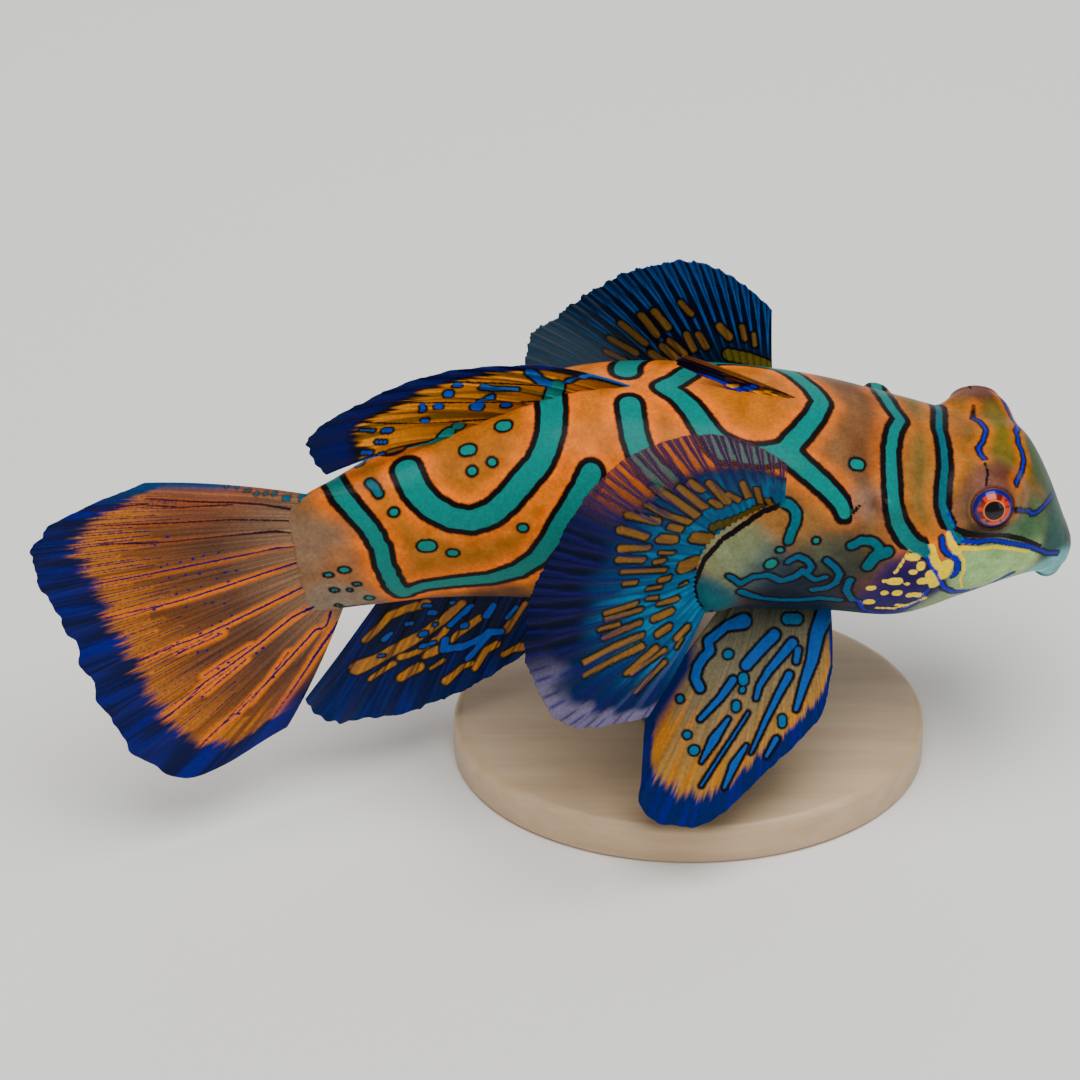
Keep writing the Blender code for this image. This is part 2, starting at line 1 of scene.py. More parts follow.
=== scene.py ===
"""The looks of the life-size mandarinfish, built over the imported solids.

The fish is shaped straight, in millimetres, with q along the body to the snout, y to its left and
z up from its middle line. pose() bends it into the swimming curve and to_row() puts it in metres
over the stand. Markings are lines on the photograph, laid on the near side of the fish and mirrored.
"""

import bpy
import numpy as np
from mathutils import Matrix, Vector


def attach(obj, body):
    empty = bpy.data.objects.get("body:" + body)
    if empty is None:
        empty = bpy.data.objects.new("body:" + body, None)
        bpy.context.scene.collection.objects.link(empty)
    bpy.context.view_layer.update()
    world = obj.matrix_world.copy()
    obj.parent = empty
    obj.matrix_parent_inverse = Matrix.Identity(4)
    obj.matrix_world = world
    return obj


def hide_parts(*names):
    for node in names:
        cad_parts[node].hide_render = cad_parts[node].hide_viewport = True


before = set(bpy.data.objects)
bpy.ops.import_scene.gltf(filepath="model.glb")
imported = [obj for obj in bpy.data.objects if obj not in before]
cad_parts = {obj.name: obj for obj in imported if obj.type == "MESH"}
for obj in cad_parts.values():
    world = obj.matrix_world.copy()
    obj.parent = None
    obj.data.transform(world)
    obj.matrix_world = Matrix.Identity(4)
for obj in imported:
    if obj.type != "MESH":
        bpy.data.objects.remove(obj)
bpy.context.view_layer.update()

# Stand foot: an oval slab of pale maple, turned with a rounded upper edge and rubbed with satin
# oil. It carries the rod in a drilled hole and stands flat on the shelf.
MM = 0.001
ORIGIN_PLACE = 2.0
STAND_HALF_LENGTH = 15.0
STAND_HALF_WIDTH = 11.0
STAND_THICKNESS = 3.0
STAND_ROUNDING = 0.5
STAND_COLUMNS = 160
FOOT_TOP_RINGS = (0.9, 0.7, 0.4, 0.1, 0.01)
GRAIN_WIDTH = 0.9
GRAIN_STRETCH = 12.0
PORE_DEPTH = 0.05
MAPLE_PALE = "D8BE98"
MAPLE_DARK = "B8926A"


def to_row(points):
    """Posed millimetres to the row's frame in metres: the origin lies under the stand's middle."""
    return (np.asarray(points) - np.array([ORIGIN_PLACE, 0, 0])) * MM


def linear(hex_colour):
    """An sRGB hex colour as linear red, green and blue."""
    values = np.array([int(hex_colour[k : k + 2], 16) for k in (0, 2, 4)]) / 255
    return np.where(values <= 0.04045, values / 12.92, ((values + 0.055) / 1.055) ** 2.4)


def add(tree, kind, inputs=(), **settings):
    """Add a shader node, set its properties, and set or link its inputs, which go by index or name."""
    node = tree.nodes.new("ShaderNode" + kind)
    for name, value in settings.items():
        setattr(node, name, value)
    for key, value in dict(inputs).items():
        if isinstance(value, bpy.types.NodeSocket):
            tree.links.new(value, node.inputs[key])
        else:
            node.inputs[key].default_value = value
    return node


def new_finish(name, sockets):
    """Material of a Principled shader with the given values on its sockets, its node tree and shader."""
    material = bpy.data.materials.new(name)
    material.use_nodes = True
    shader = material.node_tree.nodes["Principled BSDF"]
    for key, value in sockets.items():
        shader.inputs[key].default_value = value
    return material, material.node_tree, shader


def turned(profile, columns, half_length=1.0, half_width=1.0):
    """Grid of a profile of (radius, height) pairs carried round the upright axis, as an ellipse."""
    radius, height = np.array(profile, float).T[:, :, None]
    angle = np.linspace(0, 2 * np.pi, columns, endpoint=False)[None]
    sideways = half_width * radius * np.sin(angle)
    return np.stack([half_length * radius * np.cos(angle), sideways, height + 0 * angle], -1)


def surface_object(name, nodes, slot, points, faces, corner_uv, material, colours=(), values=()):
    """Piece at the origin from points in metres, faces, a UV pair for each face corner and attributes.

    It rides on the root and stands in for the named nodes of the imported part.
    """
    mesh = bpy.data.meshes.new(name)
    mesh.from_pydata(points.reshape(-1, 3).tolist(), [], faces)
    unwrap = mesh.uv_layers.new(name="OFBake")
    unwrap.data.foreach_set("uv", np.ascontiguousarray(corner_uv, dtype=np.float32).ravel())
    for key, colour in dict(colours).items():
        layer = mesh.attributes.new(key, "FLOAT_COLOR", "POINT")
        full = np.concatenate([colour.reshape(-1, 3), np.ones((colour.size // 3, 1))], axis=1)
        layer.data.foreach_set("color", full.astype(np.float32).ravel())
    for key, value in dict(values).items():
        layer = mesh.attributes.new(key, "FLOAT", "POINT")
        layer.data.foreach_set("value", value.astype(np.float32).ravel())
    mesh.materials.append(material)
    mesh.shade_smooth()
    piece = bpy.data.objects.new(name, mesh)
    bpy.context.scene.collection.objects.link(piece)
    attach(piece, "root")
    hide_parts(*nodes)
    return piece


def capped(grid):
    """Rows of a tube's points or values, and then the mean of each end row for its middle point."""
    kept = grid.reshape(-1, grid.shape[2]) if grid.ndim == 3 else grid.reshape(-1)
    return np.concatenate([kept, grid[:1].mean(1), grid[-1:].mean(1)])


def tube_faces(rows, columns):
    """Faces of a tube with a fan of triangles at each end, and their UV corners, 0 to 1 both ways."""
    row, column = np.meshgrid(np.arange(rows - 1), np.arange(columns), indexing="ij")
    corners = [(row, column), (row, column + 1), (row + 1, column + 1), (row + 1, column)]
    quads = np.stack([r * columns + c % columns for r, c in corners], -1).reshape(-1, 4)
    uv = np.stack([np.stack([c / columns, r / (rows - 1)], -1) for r, c in corners], -2).reshape(-1, 2)
    around = np.arange(columns)
    beside = (around + 1) % columns
    first_middle = 0 * around + rows * columns
    last_row = (rows - 1) * columns
    first = np.stack([beside, around, first_middle], -1)
    last = np.stack([around + last_row, beside + last_row, first_middle + 1], -1)
    fan = np.stack([around / columns, (around + 1) / columns, (around + 0.5) / columns], -1)
    first_uv = np.stack([fan[:, [1, 0, 2]], 0 * fan], -1).reshape(-1, 2)
    last_uv = np.stack([fan, 0 * fan + 1], -1).reshape(-1, 2)
    return quads.tolist() + first.tolist() + last.tolist(), np.concatenate([uv, first_uv, last_uv])


# Planed maple rubbed with oil: pale, nearly even wood with a soft sheen. Its growth rings run along
# the foot as faint streaks with fine pores, drawn by noise stretched twelve times its width.
oiled = {"Roughness": 0.45, "Coat Weight": 0.15, "Coat Roughness": 0.3}
maple, tree, shader = new_finish("oiled_maple_wood", oiled)
place = add(tree, "TexCoord").outputs["Object"]
along_grain = add(tree, "Mapping", {"Vector": place, "Scale": (1 / GRAIN_STRETCH, 1.0, 1.0)}).outputs[0]
ring_noise = {"Vector": along_grain, "Scale": 1 / (GRAIN_WIDTH * MM), "Detail": 5.0, "Roughness": 0.65}
rings = add(tree, "TexNoise", ring_noise).outputs[0]
dark_to_pale = {0: rings, 6: (*linear(MAPLE_DARK), 1.0), 7: (*linear(MAPLE_PALE), 1.0)}
wood = add(tree, "Mix", dark_to_pale, data_type="RGBA")
tree.links.new(wood.outputs[2], shader.inputs["Base Color"])
pores = add(tree, "Bump", {"Height": rings, "Strength": 0.4, "Distance": PORE_DEPTH * MM})
tree.links.new(pores.outputs[0], shader.inputs["Normal"])
corner = np.linspace(0, np.pi / 2, 9)
foot_profile = [(0.01, 0.0), (0.98, 0.0), (1.0, 0.25)]
for turn in corner:
    inward = STAND_ROUNDING / STAND_HALF_WIDTH * (1 - np.cos(turn))
    foot_profile.append((1 - inward, STAND_THICKNESS - STAND_ROUNDING * (1 - np.sin(turn))))
foot_profile += [(share, STAND_THICKNESS) for share in FOOT_TOP_RINGS]
foot = turned(foot_profile, STAND_COLUMNS, STAND_HALF_LENGTH, STAND_HALF_WIDTH)
foot_faces = tube_faces(len(foot_profile), STAND_COLUMNS)
surface_object("stand_foot", ["stand_base"], "stand_base", capped(foot * MM), *foot_faces, maple)


# Stand rod: a straight steel wire, brushed along its length, pressed into the foot through a small
# turned collar. It carries the fish at its belly.
ROD_RADIUS = 0.88
ROD_PLACE = 0.6
ROD_TOP = 13.9
COLLAR_RADIUS = 1.7
COLLAR_HEIGHT = 0.7
COLLAR_BEVEL = 0.2
ROD_BEVEL = 0.1
ROD_COLUMNS = 48
SCRATCH_WIDTH = 0.05
SCRATCH_STRETCH = 40.0
STEEL_DARK = "8C8C90"
STEEL_PALE = "C8C8CA"
# Stainless steel wire, brushed lengthwise: a grey metal whose glint is broad and soft. The scratches
# are drawn coarser than real ones, which are too fine to show.
steel, tree, shader = new_finish("brushed_steel_wire", {"Roughness": 0.42, "Metallic": 1.0})
place = add(tree, "TexCoord").outputs["Object"]
brushed = add(tree, "Mapping", {"Vector": place, "Scale": (1.0, 1.0, 1 / SCRATCH_STRETCH)}).outputs[0]
scratches = add(tree, "TexNoise", {"Vector": brushed, "Scale": 1 / (SCRATCH_WIDTH * MM), "Detail": 2.0})
dark_to_pale = {0: scratches.outputs[0], 6: (*linear(STEEL_DARK), 1.0), 7: (*linear(STEEL_PALE), 1.0)}
tone = add(tree, "Mix", dark_to_pale, data_type="RGBA")
tree.links.new(tone.outputs[2], shader.inputs["Base Color"])
collar_top = STAND_THICKNESS + COLLAR_HEIGHT
rod_profile = [
    (0.02, STAND_THICKNESS),
    (COLLAR_RADIUS, STAND_THICKNESS),
    (COLLAR_RADIUS, collar_top - COLLAR_BEVEL),
    (COLLAR_RADIUS - COLLAR_BEVEL, collar_top),
    (ROD_RADIUS, collar_top),
    (ROD_RADIUS, ROD_TOP - ROD_BEVEL),
    (ROD_RADIUS - ROD_BEVEL, ROD_TOP),
    (0.02, ROD_TOP),
]
rod = turned(rod_profile, ROD_COLUMNS) + [ROD_PLACE, 0, 0]
rod_faces = tube_faces(len(rod_profile), ROD_COLUMNS)
surface_object("stand_wire", ["stand_rod"], "stand_rod", capped(to_row(rod)), *rod_faces, steel)


# Body skin: one smooth hide from the lips to the root of the tail fin, over head, torso and tail.
# It is a loft of rounded sections melted together with the eye domes, the lips and the fleshy
# bases of the pectoral fins, and it wraps the root of the tail fin.
SNOUT_TIP = 25.75
BODY_SECTIONS = (
    (-22.5, 0.08, 4.30, 0.2),
    (-21.6, 0.62, 4.72, 0.2),
    (-19.0, 2.25, 5.05, 0.0),
    (-15.0, 3.95, 5.55, 0.05),
    (-10.0, 5.50, 6.55, 0.2),
    (-5.0, 6.60, 7.50, 0.25),
    (0.0, 7.10, 7.70, 0.0),
    (5.0, 7.20, 7.55, -0.3),
    (10.0, 7.10, 7.15, -0.95),
    (15.0, 6.60, 6.65, -2.05),
    (18.5, 5.70, 5.60, -2.05),
    (21.2, 4.85, 5.15, -1.8),
    (23.1, 3.70, 4.35, -2.5),
    (24.4, 2.50, 3.10, -4.15),
    (25.1, 1.65, 1.95, -5.1),
    (25.5, 0.95, 1.05, -5.45),
    (SNOUT_TIP, 0.20, 0.25, -5.6),
)
SECTION_SQUARENESS = 2.15
EYE_DOME_MIDDLE = (19.85, 3.45, 1.15)
EYE_DOME_RADII = (2.45, 2.35, 2.45)
LUMPS = (
    (EYE_DOME_MIDDLE, EYE_DOME_RADII),
    ((19.8, 0.0, 0.75), (2.8, 3.0, 2.6)),
    ((24.5, 0.0, -5.4), (1.15, 1.5, 1.3)),
    ((24.2, 0.0, -7.2), (0.85, 1.25, 0.55)),
    ((13.5, 5.55, 2.3), (1.1, 0.65, 0.8)),
)
PECTORAL_LOBE_MIDDLE = (4.7, 6.0, -0.9)
PECTORAL_LOBE_RADII = (4.9, 1.7, 2.2)
PECTORAL_LOBE_SLOPE = np.radians(54.0)
LUMP_SOFTNESS = 0.7
LOBE_SOFTNESS = 1.2
EYE_RADIUS = 1.5
EYE_SETTING = 1.2
EYE_FORWARD = 0.06
EYE_LIFT = np.radians(20.0)
EYE_LOOK = np.array([EYE_FORWARD, np.cos(EYE_LIFT), np.sin(EYE_LIFT)])
EYE_LOOK /= np.linalg.norm(EYE_LOOK)
LID_SETTING = 1.95
LID_RADIUS = 1.42
LID_THICKNESS = 0.15
LID_SOFTNESS = 0.25
SOCKET_RADIUS = 1.33
SOCKET_DEPTH = 0.4
WRINKLE_PLACE = 2.35
WRINKLE_SPACING = 0.34
WRINKLE_DEPTH = 0.012
MOUTH_CORNER = (23.7, -6.3)
MOUTH_FRONT = (25.9, -6.75)
MOUTH_DEPTH = 0.5
MOUTH_HALF_WIDTH = 0.12
GILL_PORE_MIDDLE = (12.75, 5.75, 2.75)
GILL_PORE_RADII = (0.32, 0.6, 0.42)
GILL_PORE_DEPTH = 0.45
NOSTRIL_MIDDLE = (23.9, 2.2, -1.95)
NOSTRIL_RADIUS = 0.18
NOSTRIL_DEPTH = 0.25
TAIL_LENGTH = 20.9
TAIL_SWING = 4.9
SWING_POWER = 1.9
TAIL_SINK = 1.5
SINK_POWER = 2.2
HEAD_LENGTH = 25.0
HEAD_TURN = 1.1
TURN_POWER = 1.5
AXIS_HEIGHT = 22.0
FARTHEST_SKIN = 12.0
SEARCH_STEPS = 49
HALVINGS = 18
SKIN_ROWS = 376
SKIN_COLUMNS = 256
HEAD_SHARE = 0.4
HEAD_PLACE = 15.5


def smooth(places, stations, values):
    """Cubic curve through the values at the stations, with each slope taken from its neighbours."""
    places = np.asarray(places, float)
    slopes = np.gradient(values, stations)
    low = np.clip(np.searchsorted(stations, places) - 1, 0, len(stations) - 2)
    step = stations[low + 1] - stations[low]
    t = np.clip((places - stations[low]) / step, 0, 1)
    ends = (1 + 2 * t) * (1 - t) ** 2 * values[low] + t * t * (3 - 2 * t) * values[low + 1]
    return ends + t * (1 - t) * step * ((1 - t) * slopes[low] - t * slopes[low + 1])


def curve_through(table, places):
    """Points of a smooth curve whose table holds a place, then one column for each coordinate."""
    table = np.array(table, float)
    columns = [smooth(places, table[:, 0], table[:, k]) for k in range(1, table.shape[1])]
    return np.stack(columns, axis=-1)


def ramp(value, low, high):
    """Smooth step: 0 up to low, 1 from high, and an S curve between, also where low is the larger."""
    t = np.clip((value - low) / (high - low), 0, 1)
    return t * t * (3 - 2 * t)


def lump(points, middle, radii, slope=0.0):
    """Distance in millimetres to an ellipsoid, near its surface, turned by a slope in the qz plane."""
    away = points - np.array(middle)
    turned = away.copy()
    turned[..., 0] = np.cos(slope) * away[..., 0] + np.sin(slope) * away[..., 2]
    turned[..., 2] = np.cos(slope) * away[..., 2] - np.sin(slope) * away[..., 0]
    size = np.linalg.norm(turned / np.array(radii), axis=-1)
    steepness = np.linalg.norm(turned / np.array(radii) ** 2, axis=-1)
    return size * (size - 1) / np.maximum(steepness, 1e-6)


def melt(first, second, softness):
    """Union of two distances with a rounded crease as wide as the softness."""
    overlap = np.maximum(softness - np.abs(first - second), 0)
    return np.minimum(first, second) - overlap ** 2 / (4 * softness)


def fold(points):
    """The far half of the straight fish laid on its near half: y without its sign."""
    return points * [1, 0, 1] + np.abs(points) * [0, 1, 0]


def skin_distance(points):
    """Distance in millimetres from the hide, negative inside: loft, lumps, lobes and eyelid rings."""
    half_width, half_height, middle = np.moveaxis(curve_through(BODY_SECTIONS, points[..., 0]), -1, 0)
    folded = fold(points)
    above = points[..., 2] - middle
    reach = np.maximum(np.hypot(points[..., 1], above), 1e-6)
    power = SECTION_SQUARENESS
    size = ((folded[..., 1] / half_width) ** power + (np.abs(above) / half_height) ** power) ** (1 / power)
    distance = reach - reach / np.maximum(size, 1e-6)
    for lump_middle, radii in LUMPS:
        distance = melt(distance, lump(folded, lump_middle, radii), LUMP_SOFTNESS)
    lobe = lump(folded, PECTORAL_LOBE_MIDDLE, PECTORAL_LOBE_RADII, PECTORAL_LOBE_SLOPE)
    distance = melt(distance, lobe, LOBE_SOFTNESS)
    from_lid = folded - (np.array(EYE_DOME_MIDDLE) + EYE_LOOK * LID_SETTING)
    along = from_lid @ EYE_LOOK
    outward = np.linalg.norm(from_lid - along[..., None] * EYE_LOOK, axis=-1)
    lid = np.hypot(outward - LID_RADIUS, along) - LID_THICKNESS
    return melt(distance, lid, LID_SOFTNESS)


def skin_surface(places, angles):
    """Hide point on each ray from a section's middle: stepped in from outside, then found by halving."""
    middle = curve_through(BODY_SECTIONS, places)[..., 2]
    directions = np.stack([0 * angles, np.cos(angles), np.sin(angles)], -1)
    start = np.stack([places, 0 * places, middle], -1)
    inner = np.zeros_like(places)
    outer = np.full_like(places, FARTHEST_SKIN)
    found = np.zeros(places.shape, bool)
    for reach in np.linspace(FARTHEST_SKIN, 0.0, SEARCH_STEPS)[1:]:
        left = ~found
        inside = skin_distance(start[left] + reach * directions[left]) <= 0
        now = np.zeros_like(found)
        now[left] = inside
        inner[now] = reach
        outer[left & ~now] = reach
        found |= now
    outer[found] = np.maximum(outer[found], inner[found])
    outer[~found] = 0
    for _ in range(HALVINGS):
        half = (inner + outer) / 2
        within = skin_distance(start + half[..., None] * directions) <= 0
        inner = np.where(within, half, inner)
        outer = np.where(within, outer, half)
    return start + inner[..., None] * directions, directions


def pose(points, stiff=False):
    """Bend straight points: the middle line swings and sinks, and each section stays square to it.

    A stiff piece, which grows forward of the bend, doesn't follow the tail.
    """
    q, y, z = np.moveaxis(np.asarray(points, float), -1, 0)
    head = np.clip(q, 0, None) / HEAD_LENGTH
    tail = np.clip(-q, 0, 0 if stiff else TAIL_LENGTH) / TAIL_LENGTH
    beyond = np.clip(-q - TAIL_LENGTH, 0, None) / TAIL_LENGTH
    swing = HEAD_TURN * head ** TURN_POWER - TAIL_SWING * (tail ** SWING_POWER + SWING_POWER * beyond)
    head_slope = TURN_POWER * HEAD_TURN / HEAD_LENGTH * head ** (TURN_POWER - 1)
    swing_slope = head_slope + SWING_POWER * TAIL_SWING / TAIL_LENGTH * tail ** (SWING_POWER - 1)
    sink = -TAIL_SINK * (tail ** SINK_POWER + SINK_POWER * beyond)
    sink_slope = SINK_POWER * TAIL_SINK / TAIL_LENGTH * tail ** (SINK_POWER - 1)
    middle = np.stack([q, swing, sink + AXIS_HEIGHT], axis=-1)
    sideways = np.stack([-swing_slope, 0 * q + 1, 0 * q], axis=-1)
    upward = np.stack([-sink_slope, -swing_slope * sink_slope, 1 + swing_slope ** 2], axis=-1)
    sideways /= np.linalg.norm(sideways, axis=-1, keepdims=True)
    upward /= np.linalg.norm(upward, axis=-1, keepdims=True)
    return middle + sideways * y[..., None] + upward * z[..., None]


tail_places = np.linspace(BODY_SECTIONS[0][0], HEAD_PLACE, int(SKIN_ROWS * (1 - HEAD_SHARE)))
head_steps = np.linspace(0, np.pi / 2, SKIN_ROWS - len(tail_places) + 1)[1:]
head_places = HEAD_PLACE + (SNOUT_TIP - HEAD_PLACE) * np.sin(head_steps)
skin_q = np.concatenate([tail_places, head_places])
skin_angle = np.linspace(0, 2 * np.pi, SKIN_COLUMNS, endpoint=False)
skin_places, skin_angles = np.meshgrid(skin_q, skin_angle, indexing="ij")
skin_plain, skin_outward = skin_surface(skin_places, skin_angles)
folded_skin = fold(skin_plain)
mouth_slope = (MOUTH_FRONT[1] - MOUTH_CORNER[1]) / (MOUTH_FRONT[0] - MOUTH_CORNER[0])
mouth_height = MOUTH_CORNER[1] + mouth_slope * (skin_places - MOUTH_CORNER[0])
mouth = np.exp(-((skin_plain[..., 2] - mouth_height) / MOUTH_HALF_WIDTH) ** 2)
mouth *= ramp(skin_places, MOUTH_CORNER[0], MOUTH_CORNER[0] + 0.4)
pore = np.exp(-np.sum(((folded_skin - GILL_PORE_MIDDLE) / GILL_PORE_RADII) ** 2, axis=-1))
nostril = np.exp(-np.sum(((folded_skin - NOSTRIL_MIDDLE) / NOSTRIL_RADIUS) ** 2, axis=-1))
from_eye = folded_skin - EYE_DOME_MIDDLE
eye_depth = from_eye @ EYE_LOOK
from_eye_axis = np.linalg.norm(from_eye - eye_depth[..., None] * EYE_LOOK, axis=-1)
socket = ramp(from_eye_axis, SOCKET_RADIUS + 0.12, SOCKET_RADIUS - 0.05) * (eye_depth > 0)
wrinkle = np.cos(from_eye_axis * 2 * np.pi / WRINKLE_SPACING) * (eye_depth > 0.6)
wrinkle *= ramp(np.abs(from_eye_axis - WRINKLE_PLACE), 0.55, 0.2)
sunk = MOUTH_DEPTH * mouth + GILL_PORE_DEPTH * pore + NOSTRIL_DEPTH * nostril
sunk += SOCKET_DEPTH * socket + WRINKLE_DEPTH * wrinkle
skin_straight = skin_plain - sunk[..., None] * skin_outward
skin_posed = pose(skin_straight)


# Skin markings: teal bands and spots with black rims, blue face lines and yellow throat spots, as
# they lie in the photograph, in its pixels. A line has its width at both ends and then its points.
TEAL_BANDS = {
    "behind_eye": (7, 8, ((935, 408), (937, 421), (941, 435), (944, 449), (945, 467), (943, 485),
                   (942, 503), (946, 517), (953, 531), (960, 540))),
    "nape": (9, 14, ((885, 392), (896, 406), (901, 419), (894, 431), (891, 449), (891, 467), (892, 485),
             (894, 503), (898, 524), (906, 537), (914, 546), (928, 552))),
    "shoulder": (13, 18, ((805, 374), (815, 381), (822, 392), (822, 402), (815, 416), (803, 431),
                 (785, 451))),
    "shoulder_fork": (18, 12, ((785, 451), (801, 465), (816, 478), (831, 492), (841, 504), (845, 513))),
    "shoulder_link": (18, 17, ((787, 451), (768, 455), (752, 455), (736, 452), (722, 444))),
    "middle": (15, 21, ((661, 386), (678, 395), (692, 409), (702, 424), (711, 437), (724, 450))),
    "flank": (20, 22, ((630, 404), (632, 420), (635, 437), (641, 455), (655, 472), (668, 484))),
    "loop": (21, 21, ((549, 384), (552, 410), (551, 431), (546, 449), (538, 465), (527, 477),
             (509, 499), (492, 514), (472, 521), (451, 518), (431, 507), (416, 491), (406, 469))),
    "rear_flank": (21, 11, ((591, 474), (584, 488), (573, 506), (561, 524), (551, 541), (538, 558),
                   (518, 571), (490, 579), (455, 582), (424, 586), (402, 594))),
    "tail_base": (13, 14, ((333, 481), (341, 495), (356, 513), (371, 530), (381, 549), (387, 571),
                  (396, 588), (404, 594))),
}
TEAL_DASHES = {
    "tail_bar": (7, 7, ((370, 483), (375, 488), (379, 494))),
    "gill_hook": (9, 9, ((784, 503), (791, 505), (796, 512), (796, 522), (791, 533), (789, 540))),
    "cheek_blob": (8, 8, ((851, 546), (861, 541), (872, 541), (878, 546))),
    "cheek_bar": (11, 12, ((868, 566), (876, 556), (887, 552))),
    "root_hook": (5, 6, ((345, 614), (351, 613), (355, 617), (352, 622))),
}
BELLY_NET = {
    "belly_net_rear": (5, 7, ((729, 576), (741, 584), (752, 577), (768, 575), (781, 581), (795, 577),
                       (803, 571))),
    "belly_net_top": (6, 5, ((788, 562), (797, 556), (807, 560), (812, 567), (806, 574), (815, 580),
                      (826, 577))),
    "belly_net_low": (7, 7, ((741, 592), (760, 598), (780, 600), (800, 600), (820, 598), (840, 600))),
    "belly_net_front": (6, 6, ((826, 560), (834, 566), (840, 574), (836, 583), (826, 588), (812, 590))),
    "belly_net_throat": (7, 6, ((850, 580), (846, 590), (852, 600))),
}
TEAL_SPOTS = (
    (427, 546, 17, 12), (453, 553, 11, 7), (523, 528, 9, 7), (394, 512, 8, 7), (468, 450, 15, 10),
    (492, 462, 8, 7), (472, 471, 9, 8), (504, 426, 15, 11), (857, 464, 14, 10), (816, 541, 6, 6),
    (771, 564, 12, 11), (780, 550, 7, 5), (344, 570, 9, 6), (329, 575, 6, 4), (334, 590, 7, 4),
    (357, 584, 5, 3), (350, 590, 4, 3), (338, 605, 5, 3), (370, 598, 7, 7), (366, 607, 5, 4),
)
BLUE_LINES = {
    "crown": (3, 3.5, ((977, 401), (974, 412), (982, 422), (986, 431), (983, 441), (978, 448),
              (981, 455), (985, 459))),
    "brow": (3.5, 4, ((1012, 403), (1018, 412), (1020, 424), (1018, 436), (1018, 443), (1022, 451),
             (1024, 460), (1022, 471), (1018, 479), (1016, 484))),
    "snout": (3, 4, ((1016, 510), (1024, 511), (1030, 511), (1031, 514), (1036, 513), (1042, 508),
              (1049, 500), (1053, 494), (1053, 486))),
    "jaw": (6, 3.5, ((950, 530), (955, 538), (962, 541), (975, 542), (992, 540), (1010, 543),
            (1028, 546), (1040, 550), (1047, 553), (1058, 553))),
    "throat": (5, 5, ((926, 553), (931, 566), (938, 578), (944, 588), (953, 592), (967, 591),
               (985, 586), (1000, 579), (1012, 573))),
    "cheek_squiggle": (5, 6, ((942, 538), (943, 548), (949, 554), (955, 557), (958, 565), (957, 571),
                       (953, 575))),
    "band_blue": (4, 5, ((947, 512), (951, 522), (956, 532))),
    "throat_edge": (5, 5, ((858, 600), (864, 610), (885, 613), (903, 609), (918, 601), (928, 590))),
}
YELLOW_LINES = {
    "jaw_border": (6, 3, ((955, 552), (963, 548), (978, 549), (995, 547), (1012, 549), (1028, 552))),
    "jaw_corner": (4, 3, ((958, 552), (964, 560), (964, 570), (960, 580), (962, 587))),
    "cheek_blotch": (15, 12, ((946, 566), (944, 575))),
    "cheek_small": (7, 8, ((949, 534), (952, 545), (958, 551))),
    "throat_blotch": (9, 10, ((931, 548), (934, 560), (938, 566))),
    "throat_lower": (10, 11, ((930, 574), (934, 584))),
    "throat_streak": (3, 4, ((908, 552), (902, 563), (895, 573))),
    "throat_rim": (5, 3, ((925, 598), (910, 604), (892, 609))),
}
YELLOW_SPOTS = (
    (895, 581, 16, 10), (871, 588, 11, 7), (884, 593, 8, 8), (897, 593, 11, 9), (869, 602, 12, 10),
    (883, 608, 16, 6), (913, 572, 9, 6), (921, 566, 9, 11), (914, 557, 13, 9), (914, 595, 17, 8),
    (902, 605, 16, 6), (923, 581, 13, 9), (907, 584, 6, 5), (884, 581, 5, 6),
)
# Black lines. The jaw's one is painted shadow above the jaw line, and the gill slit's is painted shade in
# the gill opening; the other two are dark marks.
BLACK_LINES = {
    "lobe_edge": (6, 5, ((778, 506), (762, 512), (745, 524), (722, 540), (704, 560), (694, 585),
                  (697, 603), (712, 611))),
    "jaw_shadow": (9, 5, ((954, 530), (968, 534), (981, 535), (1004, 535), (1022, 539), (1040, 546))),
    "crown_fade": (3, 3, ((985, 463), (988, 473), (986, 486))),
    "gill_slit_shade": (5, 2, ((853, 513), (859, 507), (868, 500))),
}
